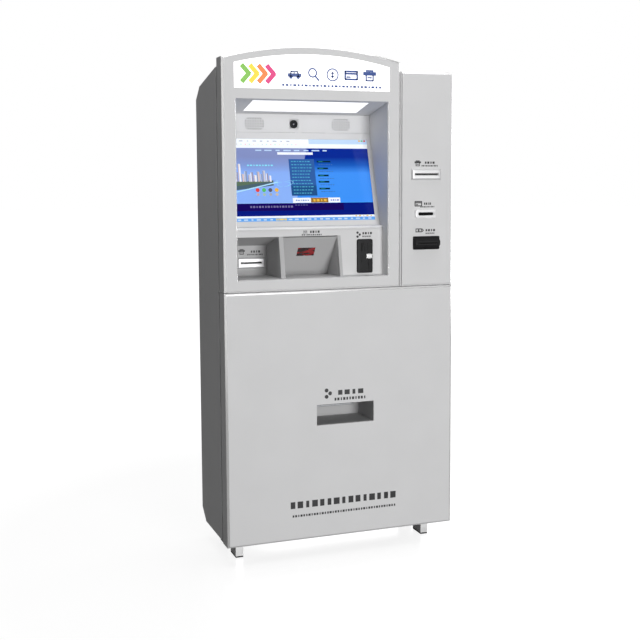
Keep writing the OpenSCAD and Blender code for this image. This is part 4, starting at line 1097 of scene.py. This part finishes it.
def skyline():
    """A made-up row of towers over a river bank."""
    towers = [(8, 10, 46), (20, 9, 34), (31, 8, 64), (41, 9, 28), (52, 10, 38), (64, 8, 26), (74, 10, 34)]
    towers += [(86, 9, 24), (97, 10, 36), (108, 7, 28), (118, 9, 40), (129, 8, 30), (140, 7, 22)]
    tones = [(0.6, 0.62, 0.72), (0.32, 0.3, 0.42), (0.85, 0.87, 0.95), (0.7, 0.55, 0.5), (0.25, 0.32, 0.5)]
    tiles = [bar(75, 136, 150, 18, (0.1, 0.16, 0.1), 1.5, 0), bar(72, 126, 152, 14, SLATE, 7, 1)]
    for i, (x, width, height) in enumerate(towers):
        tiles.append(box_tile(x - width / 2, 142, x + width / 2, 142 + height, tones[i % 5], 1))
        tiles.append(box_tile(x - width / 2, 142, x - width / 6, 141 + height, tones[(i + 1) % 5], 2))
    tiles.append(bar(82, 121, 172, 4, (0.45, 0.75, 0.95), 13, 2))
    return tiles


def garden():
    """Pale petals beside the river and four coloured dots with their echoes."""
    petals, dots = [], []
    for i in range(5):
        z = 134 + 3 * math.sin(2 * i)
        petals.append(ring(158 + 11 * i, z, 21, 2.2, (0.3, 0.68, 0.95), 0.42, 62 - 24 * i, 1))
    for i, colour in enumerate((RED, GREEN, (0.1, 0.1, 0.14), AMBER)):
        dots.append(disc(90 + 23 * i, 112, 7, colour, 2))
        dots.append(disc(90 + 23 * i, 96, 5, tuple(0.35 + 0.3 * c for c in colour), 2))
    return petals + dots


def page_glow(width):
    """Wallpaper of the page: night blue falling to sky blue, with a painted reflection of glare as a pale band
    over its left part.
    """
    lit = {"Emission_Strength": 0.2, "Coat_Weight": 0.5, "Coat_Roughness": 0.02}
    page = Recipe("wallpaper", (0.05, 0.2, 0.8), 0.07, 0.0, **lit)
    uv = page.tree.nodes.new("ShaderNodeUVMap").outputs["UV"]
    split = page.add("ShaderNodeSeparateXYZ", Vector=uv)
    ramp = page.tree.nodes.new("ShaderNodeValToRGB")
    page.tree.links.new(split.outputs["Y"], ramp.inputs["Fac"])
    stops = ramp.color_ramp.elements
    stops[0].color = (0.04, 0.27, 0.87, 1)
    stops[1].position, stops[1].color = 0.58, (0.05, 0.28, 0.9, 1)
    stops.new(0.68).color = (0.008, 0.1, 0.5, 1)
    stops.new(0.78).color = (0.0, 0.02, 0.28, 1)
    # The painted glare's sloping edge crosses the page's foot and head at these shares of its width
    glare_low, glare_high = 209 / width, 296 / width
    edge = page.add("ShaderNodeMath", i0=split.outputs["Y"], i1=glare_high - glare_low, i2=glare_low)
    edge.operation = "MULTIPLY_ADD"
    across = page.add("ShaderNodeMath", i0=edge.outputs[0], i1=split.outputs["X"])
    across.operation = "SUBTRACT"
    painted_glare = page.spread(across.outputs[0], 0.0, 0.36, 0.0, 0.006)
    mix = page.tree.nodes.new("ShaderNodeMix")
    mix.data_type = "RGBA"
    page.tree.links.new(painted_glare, mix.inputs["Factor"])
    page.tree.links.new(ramp.outputs["Color"], mix.inputs[6])
    mix.inputs[7].default_value = (0.62, 0.72, 0.95, 1)
    page.link(mix.outputs[2], "Base Color")
    page.link(mix.outputs[2], "Emission Color")
    return page.material


class STATION_OT_screen(StationOperator, bpy.types.Operator):
    """Lit page and its tiles on the touch screen"""

    bl_idname = "station.screen"
    bl_label = "Screen page"

    margin = 8 * MM

    def execute(self, context):
        carry = plane_of("touch_glass")
        low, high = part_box("touch_glass")
        up = carry.to_3x3() @ UP
        width = high.x - low.x - 2 * self.margin
        height = ((high - low).z - 3 * MM * up.y) / up.z - 2 * self.margin
        clear_selection()
        bpy.ops.mesh.primitive_plane_add(size=1, location=(0, -0.3 * MM, 0), rotation=(math.pi / 2, 0, 0))
        page = bpy.context.object
        page.name = page.data.name = "screen_page"
        page.scale = (width - 0.2 * MM, height - 0.2 * MM, 1)
        apply_place()
        bpy.ops.object.mode_set(mode="EDIT")
        bpy.ops.mesh.select_all(action="SELECT")
        push(0, 0.25 * MM, 0)
        leave_edit()
        carry_to(page, carry)
        MATERIALS["wallpaper"] = page_glow(width / MM)
        close_piece(page, "wallpaper", "upper_door", slot="screen_glass")
        corner = Matrix.Translation((-width / 2, -0.3 * MM, -height / 2))
        tiles = screen_page(width / MM, height / MM)
        draw_marks("screen_tiles", tiles, carry @ corner, "upper_door", "tiles", "screen_glass")
        return {"FINISHED"}


# ---- sign and marks


def placed(shapes, x, z, size):
    """Carries shapes drawn about the origin, in shares of a size, to a place."""
    return [
        (kind, x + px * size, z + pz * size, a * size, b * size, *rest)
        for kind, px, pz, a, b, *rest in shapes
    ]


def car_mark(ink):
    """A car seen from its side."""
    return [
        bar(0, -0.1, 1, 0.24, ink), bar(-0.03, 0.14, 0.56, 0.09, ink), bar(-0.27, 0.07, 0.09, 0.28, ink, -25),
        bar(0.23, 0.07, 0.09, 0.28, ink, 30), bar(-0.03, 0.06, 0.07, 0.2, ink),
        disc(-0.27, -0.24, 0.13, ink), disc(0.27, -0.24, 0.13, ink),
    ]


def lens_mark(ink):
    """A magnifier."""
    return [ring(-0.08, 0.1, 0.34, 0.1, ink), bar(0.26, -0.28, 0.42, 0.12, ink, -48)]


def coin_mark(ink):
    """A coin."""
    strokes = [bar(0, z, 0.3, 0.07, ink) for z in (0.12, -0.12)]
    return [ring(0, 0, 0.46, 0.09, ink), bar(0, 0, 0.09, 0.46, ink)] + strokes


def card_mark(ink):
    """A bank card."""
    edges = [bar(0, side * 0.28, 1, 0.13, ink) for side in (-1, 1)]
    edges += [bar(side * 0.46, 0, 0.13, 0.6, ink) for side in (-1, 1)]
    return edges + [bar(0, 0.12, 0.9, 0.13, ink), bar(-0.2, -0.12, 0.32, 0.11, ink)]


def slip_mark(ink):
    """A printer with its slip of paper."""
    return [
        bar(0, 0.16, 1, 0.26, ink), bar(0, 0.36, 0.6, 0.13, ink), bar(-0.27, -0.14, 0.11, 0.4, ink),
        bar(0.27, -0.14, 0.11, 0.4, ink), bar(0, -0.33, 0.6, 0.11, ink), bar(0, -0.12, 0.34, 0.1, ink),
    ]


def note_mark(ink):
    """A banknote with its arrow."""
    edges = [bar(-0.1, z, 0.9, 0.13, ink) for z in (0.2, -0.2)]
    edges += [bar(x, 0, 0.13, 0.46, ink) for x in (-0.5, 0.32)]
    arrow = [bar(0.52, side * 0.09, 0.13, 0.3, ink, side * 40) for side in (1, -1)]
    return edges + [disc(-0.1, 0, 0.14, ink)] + arrow


def code_mark(ink):
    """A bar code over its scan line."""
    bars = [bar((i - 3) * 0.14, 0.06, 0.09 if i % 2 else 0.05, 0.5, ink) for i in range(7)]
    return bars + [bar(0, -0.3, 1.1, 0.06, ink)]


def coins_mark(ink):
    """Three falling coins, in shares of a coin's radius."""
    return [disc(0, 1.6, 1, ink), disc(1.9, 0, 1, ink), disc(0, -1.6, 1, ink)]


class STATION_OT_sign(StationOperator, bpy.types.Operator):
    """Film on the lit sign: coloured chevrons, five pictograms and a dashed line"""

    bl_idname = "station.sign"
    bl_label = "Sign film"

    def execute(self, context):
        low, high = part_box("sign_panel")
        navy = tuple(context.scene.station_paint.navy)
        x, z = (low.x + high.x) / 2, low.z
        film = []
        chevrons = ((0.2, 0.55, 0.03), (1.0, 0.75, 0.0), (0.95, 0.22, 0.01), (0.8, 0.0, 0.2))
        for i, colour in enumerate(chevrons):
            cx = -240 + 29 * i
            film += [bar(cx, 66, 16, 42, colour, 42, 1), bar(cx, 40.5, 16, 42, colour, -42, 2)]
        for i, mark in enumerate((car_mark, lens_mark, coin_mark, card_mark, slip_mark)):
            film += placed(mark(navy), -69 + 68.3 * i, 57, 48)
        film += dashes(-116, 250, 19, 7, 27, navy)
        draw_marks("sign_film", film, flat_frame(x, low.y, z), "upper_door", "sign_ink", "opal_acrylic")
        return {"FINISHED"}


class STATION_OT_marks(StationOperator, bpy.types.Operator):
    """Printed pictograms and caption bars beside the devices"""

    bl_idname = "station.marks"
    bl_label = "Printed marks"

    def execute(self, context):
        ink = tuple(context.scene.station_paint.ink)
        size = self.sizes.mark / MM
        device_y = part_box("coin_bezel")[0].y + 7 * MM
        wall_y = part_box("receipt_bezel")[1].y
        # Device and plane; pictogram, its place from the device's upper left corner and its size;
        # then the two rows of bars that stand for lettering: from, to, height there and thickness
        rows = (
            ("invoice_bezel", DOOR_FRONT, "column_door", slip_mark, 26, 18, size * 1.25,
             (52, 93, 21, 8), (40, 106, 10, 5)),
            ("card_reader", DOOR_FRONT, "column_door", card_mark, 14, 14, size * 1.4,
             (35, 64, 14, 8), (21, 78, 3, 5)),
            ("banknote_bezel", DOOR_FRONT, "column_door", note_mark, 25, 21, size * 1.3,
             (48, 88, 21, 8), (49, 85, 10, 5)),
            ("coin_bezel", device_y, "upper_door", coins_mark, 3, 16, 4.4,
             (20, 59, 20.5, 8), (21, 55, 9.5, 5)),
            ("scanner_window", device_y, "upper_door", code_mark, 21, 49.5, size * 0.8,
             (37, 75, 49.5, 8), (7, 83, 39.5, 5)),
            ("receipt_bezel", wall_y, "upper_door", slip_mark, 18, 19.5, size * 1.2,
             (50, 87, 20, 8), (37, 97, 9.5, 5)),
            ("coin_tray", DOOR_FRONT, "lower_door", coins_mark, 38.5, 36, 7,
             (77, 180, 37, 17), (66, 188, 14, 10)),
        )
        for node, y, body, mark, x, z, scale, upper, lower in rows:
            low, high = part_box(node)
            shapes = placed(mark(ink), x, z, scale) + dashes(*upper, 4, ink) + dashes(*lower, 11, ink)
            draw_marks(node + "_mark", shapes, flat_frame(low.x, y, high.z), body)
        line = dashes(222, 630, 127, 24, 15, ink) + dashes(232, 628, 88, 8, 40, ink)
        draw_marks("maker_line", line, flat_frame(DOOR_LOW.x, DOOR_FRONT, DOOR_LOW.z), "lower_door")
        return {"FINISHED"}


# ---- stage


def split_by_ray(tree, others, seen, surface):
    """Shows one shader to the camera and another to every other ray."""
    ray = tree.nodes.new("ShaderNodeLightPath")
    mix = tree.nodes.new("ShaderNodeMixShader")
    tree.links.new(ray.outputs["Is Camera Ray"], mix.inputs[0])
    tree.links.new(others, mix.inputs[1])
    tree.links.new(seen, mix.inputs[2])
    tree.links.new(mix.outputs[0], surface)


def room_light(studio):
    """White to the camera and a dim even grey to the object."""
    world = bpy.data.worlds.new("studio_room")
    bpy.context.scene.world = world
    world.use_nodes = True
    tree = world.node_tree
    back = tree.nodes["Background"]
    back.inputs["Color"].default_value = (1, 1, 1, 1)
    back.inputs["Strength"].default_value = studio.ambient
    white = tree.nodes.new("ShaderNodeBackground")
    white.inputs["Color"].default_value = (1, 1, 1, 1)
    split_by_ray(tree, back.outputs[0], white.outputs[0], tree.nodes["World Output"].inputs["Surface"])


def floor_finish():
    """Pale gloss floor that throws little light back up."""
    pale = Recipe("studio_floor", (0.3, 0.3, 0.3), 0.12, 0.0)
    reach = pale.add("ShaderNodeVectorMath", i0=pale.place)
    reach.operation = "LENGTH"
    pale.link(pale.spread(reach.outputs["Value"], 0.84, 1.05, 1.2, 3.0), "Emission Strength")
    pale.set("Emission Color", (1, 1, 1, 1))
    pale.link(pale.spread(pale.noise(0.4, 2), 0.2, 0.26), "Roughness")
    tree = pale.tree
    dim = tree.nodes.new("ShaderNodeBsdfDiffuse")
    dim.inputs["Color"].default_value = (0.3, 0.3, 0.3, 1)
    split_by_ray(tree, dim.outputs[0], pale.shader.outputs[0], tree.nodes["Material Output"].inputs["Surface"])
    return pale.material


def softbox(name, azimuth, elevation, distance, width, height, power):
    """An area light that faces the object's centre; azimuth counts from the front, positive to the right."""
    centre = (CAD_BOX[0] + CAD_BOX[1]) / 2
    a, e = math.radians(azimuth), math.radians(elevation)
    away = Vector((math.sin(a) * math.cos(e), -math.cos(a) * math.cos(e), math.sin(e)))
    turn = (-away).to_track_quat("-Z", "Y" if elevation < 85 else "X").to_euler()
    clear_selection()
    bpy.ops.object.light_add(type="AREA", location=centre + away * distance, rotation=turn)
    lamp = bpy.context.object
    lamp.name = lamp.data.name = name
    lamp.data.shape = "RECTANGLE"
    lamp.data.size, lamp.data.size_y = width, height
    lamp.data.energy = power


class STATION_OT_studio(StationOperator, bpy.types.Operator):
    """Floor, room, softboxes and camera"""

    bl_idname = "station.studio"
    bl_label = "Studio"

    def execute(self, context):
        studio = context.scene.station_studio
        clear_selection()
        bpy.ops.mesh.primitive_plane_add(size=200, location=(0, 0, CAD_BOX[0].z))
        floor = bpy.context.object
        floor.name = floor.data.name = "studio_floor"
        floor.data.materials.append(floor_finish())
        room_light(studio)
        softbox("key_softbox", 6, 2, 7.0, 2.2, 2.4, studio.key)
        softbox("top_softbox", 0, 89, 3.0, 3.0, 3.0, studio.top)
        softbox("left_strip", -70, 5, 4.0, 0.5, 3.4, studio.rim)
        softbox("back_fill", 152, 20, 5.0, 2.4, 2.4, studio.back)
        softbox("right_fill", 108, 8, 5.0, 1.6, 2.4, studio.right)
        self.camera(context.scene, studio)
        context.scene.view_settings.view_transform = "Standard"
        return {"FINISHED"}

    def camera(self, scene, studio):
        place = Vector((
            math.sin(studio.azimuth) * studio.distance,
            -math.cos(studio.azimuth) * studio.distance,
            studio.height,
        ))
        turn = (
            Matrix.Rotation(studio.heading, 3, "Z")
            @ Matrix.Rotation(math.pi / 2 - studio.tilt, 3, "X")
            @ Matrix.Rotation(studio.roll, 3, "Z")
        )
        clear_selection()
        bpy.ops.object.camera_add(location=place, rotation=turn.to_euler())
        camera = bpy.context.object
        camera.name = camera.data.name = "view_camera"
        camera.data.lens = studio.lens
        camera.data.sensor_width = 36
        camera.data.shift_x, camera.data.shift_y = studio.shift
        camera.data.clip_end = 60
        scene.camera = camera


# ---- panel and run

OPERATORS = (
    STATION_OT_finishes, STATION_OT_folds, STATION_OT_printer_bezels,
    STATION_OT_card_mouth, STATION_OT_banknote_bezel, STATION_OT_coin_bezel,
    STATION_OT_camera_eye, STATION_OT_grilles, STATION_OT_scanner_rim,
    STATION_OT_downlight, STATION_OT_screen, STATION_OT_sign,
    STATION_OT_marks, STATION_OT_studio,
)


class STATION_PT_panel(bpy.types.Panel):
    """Lists the settings and the steps"""

    bl_label = "Pay Station"
    bl_idname = "STATION_PT_panel"
    bl_space_type = "VIEW_3D"
    bl_region_type = "UI"
    bl_category = "Pay Station"

    def draw(self, context):
        for group in (context.scene.station_paint, context.scene.station_sizes, context.scene.station_studio):
            column = self.layout.column()
            for name in group.__annotations__:
                column.prop(group, name)
        for step in OPERATORS:
            self.layout.operator(step.bl_idname)


GROUPS = {"station_paint": StationPaint, "station_sizes": StationSizes, "station_studio": StationStudio}


def register():
    """Registers the settings, the steps and the panel."""
    for name, group in GROUPS.items():
        bpy.utils.register_class(group)
        setattr(bpy.types.Scene, name, PointerProperty(type=group))
    for step in (*OPERATORS, STATION_PT_panel):
        bpy.utils.register_class(step)


def unregister():
    """Takes them away again."""
    for step in (STATION_PT_panel, *reversed(OPERATORS)):
        bpy.utils.unregister_class(step)
    for name, group in reversed(GROUPS.items()):
        delattr(bpy.types.Scene, name)
        bpy.utils.unregister_class(group)


def main():
    """Runs every step in order."""
    register()
    for step in OPERATORS:
        family, name = step.bl_idname.split(".")
        getattr(getattr(bpy.ops, family), name)()
    clear_selection()


if __name__ == "__main__":
    main()
